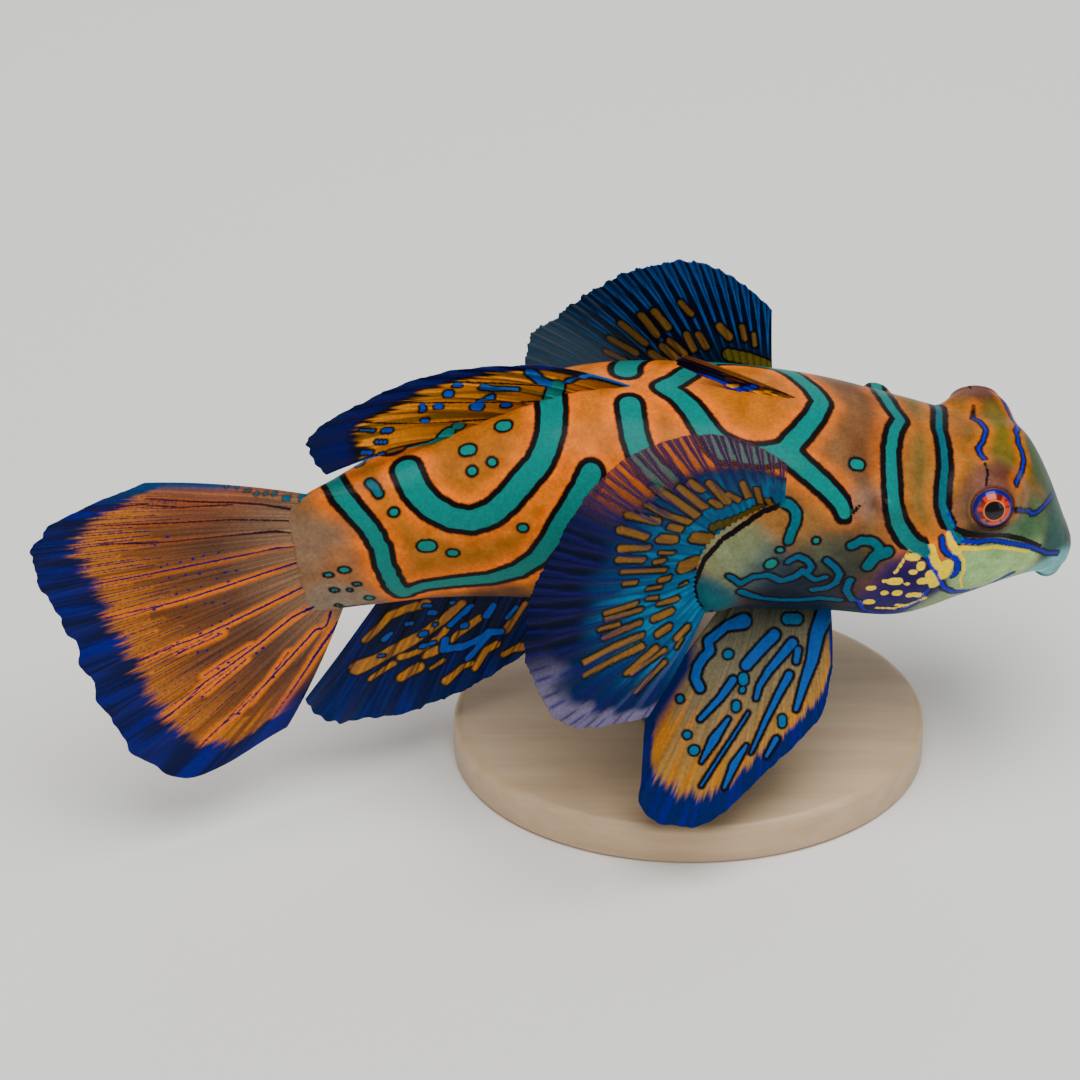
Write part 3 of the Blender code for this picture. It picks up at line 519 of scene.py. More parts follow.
# Where each ground colour is purest: photo pixel, how far it reaches in millimetres, how strongly
# the bands glow orange there, and the colour.
GROUND_TINTS = {
    "rear_flank": (470, 500, 4.0, 1.0, "A86218"),
    "loop_heart": (480, 440, 2.2, 1.0, "A85C10"),
    "middle_flank": (560, 470, 3.0, 1.0, "CC6A04"),
    "back_cell": (745, 412, 3.0, 1.0, "BC6608"),
    "shoulder": (850, 435, 2.8, 0.7, "7C5634"),
    "nape_top": (868, 392, 1.8, 0.3, "5C3018"),
    "nape_column": (920, 470, 2.2, 0.3, "74602C"),
    "head_column": (958, 462, 1.2, 0.45, "AA721E"),
    "head_column_top": (962, 415, 1.2, 0.2, "74441E"),
    "gill": (868, 505, 0.9, 0.1, "766050"),
    "operculum": (878, 530, 1.3, 0.2, "70502A"),
    "cheek_dark": (850, 555, 1.2, 0.0, "32362C"),
    "throat": (907, 575, 1.0, 0.0, "1C0A50"),
    "throat_low": (890, 600, 1.1, 0.0, "1A0A58"),
    "throat_front": (925, 585, 0.8, 0.0, "200A54"),
    "chin": (990, 568, 1.6, 0.0, "98C27E"),
    "chin_rear": (955, 603, 1.5, 0.0, "86986E"),
    "cheek_pale": (1015, 560, 1.1, 0.0, "A6C880"),
    "lower_lip": (1046, 567, 0.7, 0.0, "74B8BC"),
    "lip_end": (1054, 566, 0.7, 0.0, "74B8BC"),
    "snout": (1058, 533, 1.1, 0.0, "0A4A44"),
    "snout_side": (1025, 532, 1.2, 0.0, "3E6440"),
    "snout_top": (1055, 505, 1.0, 0.0, "1E4C38"),
    "forehead": (1000, 420, 1.3, 0.1, "746410"),
    "forehead_side": (1003, 455, 1.1, 0.1, "645424"),
    "forehead_front": (1038, 460, 1.0, 0.0, "2E4A26"),
    "eye_dome": (985, 480, 1.1, 0.1, "7A4C40"),
    "eye_dome_low": (985, 532, 0.8, 0.0, "3C2C1C"),
    "eye_dome_front": (1022, 500, 0.8, 0.1, "8A6030"),
    "eye_dome_rear": (964, 510, 0.8, 0.1, "70543A"),
    "far_dome": (984, 393, 1.0, 0.0, "54261A"),
    "belly_front": (800, 588, 2.2, 0.0, "021E30"),
    "belly_middle": (760, 568, 1.2, 0.0, "043A4C"),
    "pectoral_lobe": (742, 560, 1.3, 0.0, "7E865E"),
    "pectoral_lobe_end": (708, 598, 1.0, 0.0, "0A5A64"),
    "behind_gill": (812, 520, 1.5, 0.3, "8A5C2C"),
    "under_gill": (822, 552, 1.2, 0.0, "4A5240"),
    "peduncle": (306, 537, 1.8, 0.25, "86684E"),
    "peduncle_top": (328, 500, 1.1, 0.8, "985A26"),
    "peduncle_band": (352, 560, 1.1, 0.9, "A2663A"),
    "peduncle_low": (338, 603, 1.2, 0.3, "84705C"),
    "lower_edge": (500, 594, 1.0, 0.2, "5A3A24"),
    "belly_rear": (640, 600, 1.6, 0.1, "30282A"),
}
GROUND_REST = "9A5A1E"
GROUND_BELLY = "0C3A44"
HALO_ORANGE = "F27200"
TEAL = "027870"
TEAL_HEAD = "045C68"
BELLY_BLUE = "045478"
DEEP_BLUE = "0806A8"
YELLOW = "FFD800"
BAND_BLACK = "120A0E"
FACE_GLOW = "C86406"
RECESS_SHADE_BROWN = "3A1810"
PIXELS_PER_MM = 16.0
PHOTO_MIDDLE = 540.0
CAMERA_LIFT = np.radians(40.0)
CAMERA_DISTANCE = 420.0
AIM = np.array([-7.5, 0.0, AXIS_HEIGHT - 4.57])
TO_CAMERA = np.array([0.0, -np.cos(CAMERA_LIFT), np.sin(CAMERA_LIFT)])
IMAGE_UP = np.array([0.0, np.sin(CAMERA_LIFT), np.cos(CAMERA_LIFT)])
BAND_RIM = 0.36
SPOT_RIM = 0.15
LINE_RIM = 0.1
HALO_REACH = 1.15
FAR_DRIFT = 0.2
DRIFT_SIZE = 6.0
EDGE_WANDER = 0.05
INK_SOFTNESS = 0.035
UNMARKED = 5.0
WAVES = 12


def to_photo(points):
    """Posed millimetres to photo pixels: across and down, shrunk by the depth from the camera."""
    away = points - AIM
    shrink = PIXELS_PER_MM * CAMERA_DISTANCE / (CAMERA_DISTANCE - away @ TO_CAMERA)
    return np.stack([PHOTO_MIDDLE + away[..., 0] * shrink, PHOTO_MIDDLE - away @ IMAGE_UP * shrink], -1)


def clouds(points, size, seed):
    """Soft random field from -1 to 1: a sum of waves of about the given size in random directions."""
    random = np.random.default_rng(seed)
    total = np.zeros(points.shape[:-1])
    for _ in range(WAVES):
        way = random.normal(size=3)
        way *= random.uniform(0.6, 1.6) / np.linalg.norm(way)
        total += np.sin(points @ way * (2 * np.pi / size) + random.uniform(0, 2 * np.pi))
    return np.clip(total / 4, -1, 1)


def lay_on(pixels, surface_photo, surface_points):
    """Surface point for each photo pixel: the mean of the four nearest as the camera sees them."""
    apart = np.linalg.norm(surface_photo[None] - np.asarray(pixels, float)[:, None], axis=-1)
    nearest = np.argpartition(apart, 4, axis=1)[:, :4]
    weight = 1 / (np.take_along_axis(apart, nearest, axis=1) + 0.2)
    return (surface_points[nearest] * weight[..., None]).sum(1) / weight.sum(1)[:, None]


def densely(pixels, step=1.5):
    """Points every step pixels along a line of photo pixels, and how far along each one is, 0 to 1."""
    pixels = np.array(pixels, float)
    lengths = np.concatenate([[0], np.cumsum(np.linalg.norm(np.diff(pixels, axis=0), axis=1))])
    count = max(2, int(lengths[-1] / step) + 1)
    along = np.linspace(0, lengths[-1], count)
    points = np.stack([np.interp(along, lengths, pixels[:, k]) for k in (0, 1)], -1)
    return points, along / lengths[-1]


def blended(first, second, share):
    """Mix of two colours, or grids of colours, by a share from 0 to 1 at each point."""
    share = np.clip(share, 0, 1)[..., None]
    return first * (1 - share) + second * share


class Marks:
    """Markings on a surface: the distance in millimetres to the nearest one's edge, its ink and rim."""

    def __init__(self, points, seen_photo, seen_points, mirrored=False):
        """With mirrored, the points are those of a folded fish, and a line ends at the back's middle."""
        self.points = points
        self.seen = (seen_photo, seen_points)
        self.last_y = 0.05 if mirrored else np.inf
        self.mirror = -1 if mirrored else 1
        self.edge = np.full(points.shape[:-1], UNMARKED)
        self.rim = np.zeros(points.shape[:-1])
        self.ink = np.zeros(points.shape)

    def reach(self, pixels, half_widths):
        """Millimetres to the edge of a line on the photo: to its nearest point, less its half width."""
        middle = lay_on(pixels, *self.seen)
        edge = np.full(self.edge.shape, UNMARKED)
        kept = middle[:, 1] <= self.last_y
        if not kept.any():
            return edge
        middle = middle[kept] * [1, self.mirror, 1]
        low, high = middle.min(0) - 3, middle.max(0) + 3
        near = np.all((self.points > low) & (self.points < high), axis=-1)
        apart = np.linalg.norm(self.points[near][:, None] - middle[None], axis=-1)
        edge[near] = (apart - np.asarray(half_widths)[kept] / PIXELS_PER_MM).min(1)
        return edge

    def draw(self, edge, ink, rim):
        """Ink a mark where its edge is nearer than that of the marks drawn before, with a soft change."""
        share = ramp(self.edge - edge, -0.07, 0.07)
        self.ink = blended(self.ink, ink, share)
        self.rim = self.rim + (rim - self.rim) * share
        self.edge = np.minimum(self.edge, edge)

    def line_edges(self, named):
        """Edge distance of each line of a set, its width going evenly from the first to the last."""
        for first, last, pixels in named.values():
            points, along = densely(pixels)
            yield self.reach(points, (first + (last - first) * along) / 2)

    def lines(self, named, ink, rim):
        """Draw every line of a set."""
        for edge in self.line_edges(named):
            self.draw(edge, ink, rim)

    def wash(self, ground, named, colour, softness, rim_colour):
        """Ground with soft-edged lines of a set laid into it, each in a thin rim."""
        edge = np.min(list(self.line_edges(named)), axis=0)
        rimmed = blended(ground, rim_colour, ramp(edge, 0.1 + softness, 0.1))
        return blended(rimmed, colour, ramp(edge, softness / 2, -softness / 2))

    def spots(self, places, ink, rim):
        """Draw oval spots: each is a short stroke as long and as thick as the oval."""
        for x, y, width, height in places:
            thick = min(width, height)
            run = np.array([width - thick, height - thick]) / 2
            ends = np.array([[x, y] - run, [x, y], [x, y] + run])
            self.draw(self.reach(ends, [thick / 2] * 3), ink, rim)


skin_normal = np.cross(np.gradient(skin_posed, axis=0), np.gradient(skin_posed, axis=1))
outward = skin_posed - skin_posed.mean(1, keepdims=True)
facing = (skin_normal @ TO_CAMERA) * np.sign((skin_normal * outward).sum(-1))
seen = facing > 0
seen_photo = to_photo(skin_posed[seen])
seen_points = skin_straight[seen]
# The far side's marks wander a little, so that they aren't the near side's exact mirror image.
drift = [clouds(skin_straight, DRIFT_SIZE, 1), 0 * skin_places, clouds(skin_straight, DRIFT_SIZE, 2)]
drift = np.stack(drift, -1) * (FAR_DRIFT * ramp(skin_straight[..., 1], 0.5, 3.0))[..., None]
marked = fold(skin_straight) + drift

marks = Marks(marked, seen_photo, seen_points, mirrored=True)
marks.lines(TEAL_BANDS, linear(TEAL), BAND_RIM)
band_edge = marks.edge.copy()
marks.lines(TEAL_DASHES, linear(TEAL_HEAD), SPOT_RIM)
marks.lines(BELLY_NET, linear(BELLY_BLUE), SPOT_RIM)
marks.spots(TEAL_SPOTS, linear(TEAL), SPOT_RIM)
marks.lines(BLUE_LINES, linear(DEEP_BLUE), LINE_RIM)
marks.lines(YELLOW_LINES, linear(YELLOW), 0.0)
marks.spots(YELLOW_SPOTS, linear(YELLOW), 0.0)
marks.lines(BLACK_LINES, linear(BAND_BLACK), 0.0)

# The ground is the mean of the tints, each weighted by how near it is, with orange beside the bands.
tint_pixels = np.array([tint[:2] for tint in GROUND_TINTS.values()], float)
tint_places = fold(lay_on(tint_pixels, seen_photo, seen_points))
ground = 0.01 * blended(linear(GROUND_BELLY), linear(GROUND_REST), ramp(skin_straight[..., 2], -6.0, -3.0))
glow = np.full(skin_places.shape, 0.01)
weights = np.full(skin_places.shape, 0.01)
for place, (_, _, reach, shine, colour) in zip(tint_places, GROUND_TINTS.values()):
    weight = np.exp(-np.sum((marked - place) ** 2, axis=-1) / reach ** 2) / reach
    ground += weight[..., None] * linear(colour)
    glow += weight * shine
    weights += weight
ground /= weights[..., None]
glow /= weights
halo = ramp(band_edge, HALO_REACH + BAND_RIM, BAND_RIM) * glow
halo *= 0.85 + 0.25 * clouds(skin_straight, 3.0, 3)
ground = blended(ground, linear(HALO_ORANGE), halo)
teal_ink = np.all(marks.ink == linear(TEAL), axis=-1)
marks.ink = blended(marks.ink, linear(TEAL_HEAD), teal_ink * ramp(skin_places, 13.0, 17.0))
face_edge = np.min(list(marks.line_edges({key: BLUE_LINES[key] for key in ("crown", "brow")})), axis=0)
ground = blended(ground, linear(FACE_GLOW), 0.65 * ramp(face_edge, 0.8, 0.15))
ground *= (1 + 0.14 * clouds(skin_straight, 1.6, 4) + 0.07 * clouds(skin_straight, 0.7, 5))[..., None]
# Painted shade in hollows: the mouth's groove, the gill pores and the nostrils are darkened towards brown.
ground = blended(ground, linear(RECESS_SHADE_BROWN), 0.85 * np.clip(mouth + 0.8 * pore + nostril, 0, 1))


def painted(name, sockets, grain, bump, clear=False):
    """Pigmented skin: ground colour under inked marks with black rims, speckled at the grain in mm.

    The marks' soft edges wander by a twentieth of a millimetre, as pigment cells do. With clear, the
    attribute of that name says how far the eye sees through.
    """
    material, tree, shader = new_finish(name, sockets)
    read = {
        key: add(tree, "Attribute", attribute_name=key).outputs[output]
        for key, output in (("ground", "Color"), ("ink", "Color"), ("edge", "Fac"), ("rim", "Fac"))
    }
    place = add(tree, "TexCoord").outputs["Object"]
    pigment = {"Vector": place, "Scale": 1 / (grain * MM), "Detail": 3.0, "Roughness": 0.6}
    speckle = add(tree, "TexNoise", pigment).outputs[0]
    wander = {0: speckle, 1: 2 * EDGE_WANDER, 2: -EDGE_WANDER}
    wander = add(tree, "Math", wander, operation="MULTIPLY_ADD").outputs[0]
    edge = add(tree, "Math", {0: read["edge"], 1: wander}, operation="ADD").outputs[0]
    past_rim = add(tree, "Math", {0: edge, 1: read["rim"]}, operation="SUBTRACT").outputs[0]
    black = {0: past_rim, 1: -0.05, 2: 0.12, 3: 1.0, 4: 0.0}
    black = add(tree, "MapRange", black, interpolation_type="SMOOTHSTEP").outputs[0]
    rimmed = add(tree, "MapRange", {0: read["rim"], 1: 0.01, 2: 0.08}).outputs[0]
    share = add(tree, "Math", {0: black, 1: rimmed}, operation="MULTIPLY").outputs[0]
    ringed = {0: share, 6: read["ground"], 7: (*linear(BAND_BLACK), 1.0)}
    ringed = add(tree, "Mix", ringed, data_type="RGBA").outputs[2]
    inked = {0: edge, 1: -INK_SOFTNESS, 2: INK_SOFTNESS, 3: 1.0, 4: 0.0}
    inked = add(tree, "MapRange", inked, interpolation_type="SMOOTHSTEP").outputs[0]
    marked = add(tree, "Mix", {0: inked, 6: ringed, 7: read["ink"]}, data_type="RGBA").outputs[2]
    dapple = add(tree, "MapRange", {0: speckle, 1: 0.3, 2: 0.7, 3: 0.8, 4: 1.15}).outputs[0]
    dappled = add(tree, "HueSaturation", {"Color": marked, "Value": dapple}).outputs[0]
    tree.links.new(dappled, shader.inputs["Base Color"])
    height = add(tree, "Bump", {"Height": speckle, "Strength": 1.0, "Distance": bump * MM})
    tree.links.new(height.outputs[0], shader.inputs["Normal"])
    if clear:
        see_through = add(tree, "Attribute", attribute_name="clear").outputs["Fac"]
        solid = add(tree, "Math", {0: 1.0, 1: see_through}, operation="SUBTRACT").outputs[0]
        tree.links.new(solid, shader.inputs["Alpha"])
    return material


# Scaleless skin under a thin coat of slime: strong colours that hardly shine, with a faint wet gleam
# and a speckle of pigment cells, drawn a few times coarser than real ones so that it shows.
SKIN_GRAIN = 0.22
SKIN_BUMP = 0.02
moist = {"Roughness": 0.42, "Specular IOR Level": 0.05, "Coat Weight": 0.04, "Coat Roughness": 0.1}
fish_skin = painted("mandarinfish_wet_skin", moist, SKIN_GRAIN, SKIN_BUMP)
surface_object(
    "body_skin",
    ["head", "torso", "tail"],
    "skin_body",
    capped(to_row(skin_posed)),
    *tube_faces(SKIN_ROWS, SKIN_COLUMNS),
    fish_skin,
    {"ground": capped(ground), "ink": capped(marks.ink)},
    {"edge": capped(marks.edge), "rim": capped(marks.rim)},
)


# Eyes: wet balls set in the domes, one on each side, with a round black pupil ringed by a painted
# orange glint, an orange-red iris clouded with brown and a blue-purple rim under the lid.
PUPIL_RADIUS = 0.62
IRIS_RADIUS = 1.0
EYE_RIM_RADIUS = 1.24
PUPIL_BLACK = "120A0C"
PUPIL_GLINT_ORANGE = "F07A18"
IRIS_ORANGE = "CC2C02"
IRIS_BROWN = "3C0A08"
EYE_RIM_PURPLE = "140874"
LID_BROWN = "6E3A22"
FLECK_SIZE = 1.2
EYE_GRAIN = 0.12
EYE_ROWS = 110
EYE_COLUMNS = 96
POLE_GAP = 0.004
# A clear cornea over a pigmented iris: a smooth wet ball, with sharp glints over colour that holds a
# painted glint.
wet = {"Roughness": 0.3, "Specular IOR Level": 0.1, "Coat Weight": 0.5, "Coat Roughness": 0.02}
wet_eye = painted("wet_clear_cornea_over_iris", wet, EYE_GRAIN, 0.0)
from_axis, round_axis = np.meshgrid(
    np.linspace(POLE_GAP, np.pi - POLE_GAP, EYE_ROWS),
    np.linspace(0, 2 * np.pi, EYE_COLUMNS, endpoint=False),
    indexing="ij",
)
from_middle = np.where(from_axis > np.pi / 2, EYE_RADIUS, EYE_RADIUS * np.sin(from_axis))
flecks = clouds(np.stack([from_middle, 2 * np.cos(round_axis), 2 * np.sin(round_axis)], -1), FLECK_SIZE, 21)
iris = blended(linear(IRIS_ORANGE), linear(IRIS_BROWN), 0.85 * ramp(flecks, 0.1, 0.45))
eye_colour = np.where((from_middle < PUPIL_RADIUS)[..., None], linear(PUPIL_BLACK), iris)
# Painted glint: a thin bright orange ring just outside the pupil, standing in for a highlight in the iris.
pupil_glint = ramp(np.abs(from_middle - PUPIL_RADIUS), 0.09, 0.03) * (from_middle > PUPIL_RADIUS)
eye_colour = blended(eye_colour, linear(PUPIL_GLINT_ORANGE), pupil_glint)
for radius, colour in ((IRIS_RADIUS, EYE_RIM_PURPLE), (EYE_RIM_RADIUS, LID_BROWN)):
    eye_colour = np.where((from_middle > radius)[..., None], linear(colour), eye_colour)
for side, side_name in ((-1, "right"), (1, "left")):
    look = EYE_LOOK * [1, side, 1]
    upright = np.array([0.0, 0.0, 1.0]) - look * look[2]
    upright /= np.linalg.norm(upright)
    across_eye = np.cross(upright, look)
    eye_middle = np.array(EYE_DOME_MIDDLE) * [1, side, 1] + look * EYE_SETTING
    ball = eye_middle + EYE_RADIUS * (
        np.cos(from_axis)[..., None] * look
        + (np.sin(from_axis) * np.cos(round_axis))[..., None] * upright
        + (np.sin(from_axis) * np.sin(round_axis))[..., None] * across_eye
    )
    surface_object(
        "eye_ball_" + side_name,
        ["eye_" + side_name],
        "eye",
        capped(to_row(pose(ball))),
        *tube_faces(EYE_ROWS, EYE_COLUMNS),
        wet_eye,
        {"ground": capped(eye_colour), "ink": capped(eye_colour)},
        {"edge": 0 * capped(from_middle) + UNMARKED, "rim": 0 * capped(from_middle)},
    )


# Caudal fin: the tail fan, nine branched rays under brown-orange skin with a frayed navy margin.
# Purple-blue lines edged with bright orange run out along the rays, and rows of dots lie beside them.
CAUDAL_ROOTS = ((0, -20.9, 0, 4.9), (0.5, -21.5, 0, 0.2), (1, -20.3, 0, -4.8))
CAUDAL_TIPS = (
    (0, -30.0, 0, 11.0),
    (0.1, -33.6, 0, 11.1),
    (0.2, -36.3, 0, 10.4),
    (0.5, -36.6, 0, 2.9),
    (0.63, -35.8, 0, -1.8),
    (0.75, -35.3, 0, -6.2),
    (0.86, -33.9, 0, -10.6),
    (0.94, -31.0, 0, -14.0),
    (1, -25.2, 0, -13.2),
)
CAUDAL_BOWS = ((0, 0, 0.12), (0.02, 0, -0.12))
CAUDAL_RAYS = 9
MEMBRANE_HALF = 0.07
RAY_HEIGHT = 0.11
RAY_HALF_WIDTH = 0.11
RAY_TAPER = 0.6
FORK_PLACES = (0.3, 1.1)
TWIG_PLACES = (0.6, 1.2)
FIN_GRAIN = 0.2
FIN_BUMP = 0.01
NAVY = "020C3C"
ROYAL = "080AA0"
CAUDAL_ALONG = ((0, "8A6A50"), (0.15, "7E5C44"), (0.35, "5E3C2A"), (0.6, "74421E"), (1, "A05818"))
CAUDAL_UPPER = "94583C"
CAUDAL_STREAK = "C87414"
CAUDAL_GLOW = "E07000"
CAUDAL_DARK_GLOW = "A84A10"
CAUDAL_TOP_EDGE = "064070"
CAUDAL_SHORT_INK = "160648"
CAUDAL_DARK_INK = "2A0E1C"
CAUDAL_BRIGHT_INK = "100454"
CAUDAL_DOT_INK = "1C0A60"
CAUDAL_SPOT_INK = "0A5C78"
DOT_SIZE = (3.5, 3)
SHORT_SPACING = 0.0135
SHORT_SHIFT = 0.004
SHORT_HALF_WIDTH = 0.04
# Dark lines along the main rays of the upper half, then the bright-edged ones of the lower half.
CAUDAL_DARK = {
    "second": (3, 2, ((294, 509), (262, 504), (232, 502), (191, 501), (145, 498))),
    "third": (2, 2, ((289, 520), (232, 519), (179, 522), (130, 524), (104, 525))),
    "fourth": (3, 2, ((291, 532), (275, 530), (224, 535), (167, 541), (118, 543), (100, 543))),
    "second_low": (2, 2, ((232, 504), (180, 507), (140, 504), (110, 508), (90, 512))),
}
CAUDAL_BRIGHT = {
    "fifth": (3, 2, ((302, 545), (275, 547), (240, 555), (196, 564), (151, 573), (126, 578), (102, 582),
              (81, 585))),
    "sixth": (3, 2, ((309, 562), (300, 561), (265, 572), (224, 586), (196, 595), (169, 603), (134, 611),
              (104, 617))),
    "seventh": (3, 2, ((303, 586), (261, 607), (224, 625), (198, 637), (175, 645), (151, 656),
                (127, 666))),
    "eighth": (3, 2, ((321, 598), (314, 605), (291, 617), (259, 643), (228, 666), (204, 682),
               (187, 699), (163, 719))),
    "ninth": (3, 2, ((330, 611), (326, 625), (315, 629), (283, 664), (257, 692), (236, 713), (216, 730),
              (187, 760))),
    "tenth": (4, 2, ((338, 622), (320, 647), (296, 684), (281, 705), (273, 717))),
    "seventh_twin": (2, 2, ((222, 633), (200, 643), (178, 652))),
    "eighth_twin": (2, 2, ((250, 645), (226, 660), (204, 675))),
    "eighth_low": (2, 2, ((245, 659), (220, 679), (205, 692))),
    "ninth_twin": (2, 2, ((288, 652), (268, 680), (250, 702))),
}
CAUDAL_TEAL_SPOTS = (
    (303, 497, 8, 11), (286, 497, 7, 5), (265, 493, 22, 4), (247, 490, 6, 2), (301, 512, 5, 6),
    (303, 523, 4, 3), (237, 486, 3, 3), (226, 486, 3, 2), (313, 583, 4, 5),
)
CAUDAL_DOTS = (
    (167, 536), (155, 545), (218, 552), (203, 555), (192, 558), (179, 561), (167, 563), (160, 566),
    (236, 570), (225, 572), (216, 578), (199, 573), (185, 575), (169, 577), (200, 585), (188, 589),
    (176, 593), (228, 581), (212, 602), (205, 603), (224, 603), (186, 607), (154, 609), (231, 615),
    (220, 621), (212, 625), (227, 628), (218, 633), (200, 633), (177, 642), (206, 649), (197, 651),
    (262, 647), (256, 652), (218, 668), (228, 662), (276, 668), (273, 677), (239, 713), (202, 696),
)


class Fin:
    """Fan of rays and membrane: u runs out from root to tip and v across from the first ray to the last.

    side is -1 for a fin on the fish's right, 1 on its left and 0 in the middle. sheet holds the
    straight fish's middle points, spread the millimetres that v from 0 to 1 covers, length each
    ray's own, and to_ray the millimetres to the nearest branch. There are rows along a ray and steps
    between two rays. branch and pleat are shares of a ray's spacing, scallop and fray of its length.
    """

    def __init__(
        self, roots, tips, bows, rays, rows, steps, side=0, branch=0.22, fray=0.02, pleat=0.05, scallop=0.02
    ):
        along, across = np.linspace(0, 1, rows), np.linspace(0, 1, rays * steps + 1)
        self.u, self.v = np.meshgrid(along, across, indexing="ij")
        self.side = side
        root = curve_through(roots, self.v)
        reach = curve_through(tips, self.v) - root
        self.length = np.linalg.norm(reach, axis=-1)
        in_ray = (self.v * rays) % 1 - 0.5
        across = np.stack([self.v * rays, 0 * self.v, 0 * self.v], -1)
        ragged = 1 + 0.5 * clouds(across, 0.35, rays) + 0.5 * clouds(across, 1.1, rays + 1)
        shorten = 1 - 2 * scallop * np.abs(in_ray) - fray * ragged * self.u ** 12
        first_bow, last_bow = np.array(bows, float)
        bow = first_bow + (last_bow - first_bow) * self.v[..., None]
        self.sheet = root + reach * (self.u * shorten)[..., None]
        self.sheet = self.sheet + bow * (self.length * self.u * (1 - self.u))[..., None]
        self.sheet *= [1, side if side else 1, 1]
        self.spread = np.linalg.norm(np.gradient(self.sheet, axis=1), axis=-1) * rays * steps
        fork = branch * ramp(self.u, *FORK_PLACES)
        twig = branch / 2 * ramp(self.u, *TWIG_PLACES)
        self.to_ray = np.abs(np.abs(np.abs(in_ray) - fork) - twig) * self.spread / rays
        self.pleat = pleat * np.cos(2 * np.pi * in_ray) * self.u * self.spread / rays
        self.posed = pose(self.sheet, stiff=side != 0)
        self.marks = Marks(self.sheet, to_photo(self.posed).reshape(-1, 2), self.sheet.reshape(-1, 3))

    def colour(self, *stops):
        """Ground colour along the rays: each stop is a u and a hex colour, with even blends between."""
        places = [stop[0] for stop in stops]
        colours = np.array([linear(stop[1]) for stop in stops])
        return np.stack([np.interp(self.u, places, colours[:, k]) for k in range(3)], -1)

    def streaks(self, fineness, seed):
        """Random streaks along the rays, from -1 to 1, with about the given number across the fin."""
        return clouds(np.stack([self.v * fineness, self.u * 1.5, 0 * self.u], -1), 1.0, seed)

    def rib(self, root_v, tip_v, start, end, half_width):
        """Millimetres to the edge of a line that runs out from u = start to u = end."""
        along = np.clip((self.u - start) / (end - start), 0, 1)
        place = root_v + (tip_v - root_v) * along
        past = np.maximum(start - self.u, self.u - end) * self.length
        aside = np.abs(self.v - place) * self.spread
        return np.hypot(aside, np.maximum(past, 0)) - half_width

    def build(self, node, slot, material, ground, clear=None):
        """Make the closed sheet, thickest on the rays, with the fin's marks and how clear it is."""
        normal = np.cross(np.gradient(self.posed, axis=0), np.gradient(self.posed, axis=1))
        normal /= np.linalg.norm(normal, axis=-1, keepdims=True)
        if self.side == 1:
            normal = -normal
        middle = self.posed + normal * self.pleat[..., None]
        ridge = RAY_HEIGHT * np.exp(-((self.to_ray / RAY_HALF_WIDTH) ** 2)) * (1 - RAY_TAPER * self.u)
        half = ((MEMBRANE_HALF + ridge) * (1 - 0.5 * self.u ** 3))[..., None]
        rows, columns = self.u.shape
        grid = np.arange(rows * columns).reshape(rows, columns)
        front = np.stack([grid[:-1, :-1], grid[:-1, 1:], grid[1:, 1:], grid[1:, :-1]], -1).reshape(-1, 4)
        back = front[:, ::-1] + rows * columns
        rim = np.concatenate([grid[0, :-1], grid[:-1, -1], grid[-1, :0:-1], grid[:0:-1, 0]])
        after = np.roll(rim, -1)
        walls = np.stack([rim, rim + rows * columns, after + rows * columns, after], -1)
        faces = np.concatenate([front, back, walls])
        if self.side != 1:
            faces = faces[:, ::-1]
        points = to_row(np.stack([middle + normal * half, middle - normal * half]))
        uv = np.stack([self.v, self.u], -1).reshape(-1, 2)
        colours = {"ground": ground, "ink": self.marks.ink}
        values = {"edge": self.marks.edge, "rim": self.marks.rim}
        if clear is not None:
            values["clear"] = clear
        surface_object(
            node + "_skin",
            [node],
            slot,
            points,
            faces.tolist(),
            np.concatenate([uv, uv])[faces.ravel()],
            material,
            {key: np.stack([colour, colour]) for key, colour in colours.items()},
            {key: np.stack([value, value]) for key, value in values.items()},
        )


# Skin stretched thin over the rays, wet like the body's but with finer grain, so that the ray ridges
# catch the light. The pectoral webs have less pigment, and the eye sees through where it is missing.
fin_skin = painted("thin_wet_fin_skin", moist, FIN_GRAIN, FIN_BUMP)
clear_fin_skin = painted("thin_clear_fin_membrane", moist, FIN_GRAIN, FIN_BUMP, clear=True)
caudal_fan = (CAUDAL_ROOTS, CAUDAL_TIPS, CAUDAL_BOWS, CAUDAL_RAYS)
caudal = Fin(*caudal_fan, rows=150, steps=36, fray=0.016, pleat=0.01, scallop=0.012)
u, v = caudal.u, caudal.v
caudal_ground = caudal.colour(*CAUDAL_ALONG)
caudal_ground = blended(caudal_ground, linear(CAUDAL_UPPER), 0.8 * ramp(v, 0.3, 0.0) * ramp(u, 0.1, 0.4))
caudal_ground *= (1 + 0.28 * caudal.streaks(70, 31) + 0.15 * caudal.streaks(150, 32))[..., None]
# Short lines between the rays, each in an orange streak, run into the margin.
random = np.random.default_rng(7)
short = []
for place in np.arange(0.06, 0.97, SHORT_SPACING):
    place += random.uniform(-SHORT_SHIFT, SHORT_SHIFT)
    start = random.uniform(0.5, 0.72) - 0.04 * place
    tip_place = place + random.uniform(-SHORT_SHIFT, SHORT_SHIFT)
    short.append(caudal.rib(place, tip_place, start, random.uniform(0.83, 0.9), SHORT_HALF_WIDTH))
short_edge = np.min(short, axis=0)
streak = ramp(short_edge, 0.22, 0.05) * ramp(u + 0.08 * caudal.streaks(30, 36), 0.5, 0.8)
caudal_ground = blended(caudal_ground, linear(CAUDAL_STREAK), 0.85 * streak)
bright_edge = np.min(list(caudal.marks.line_edges(CAUDAL_BRIGHT)), axis=0)
dark_edge = np.min(list(caudal.marks.line_edges(CAUDAL_DARK)), axis=0)
glow = ramp(bright_edge, 0.42, 0.12) * ramp(v, 0.3, 0.55) * ramp(u, 0.03, 0.2)
glow = np.maximum(glow, 0.4 * ramp(bright_edge, 0.3, 0.05))
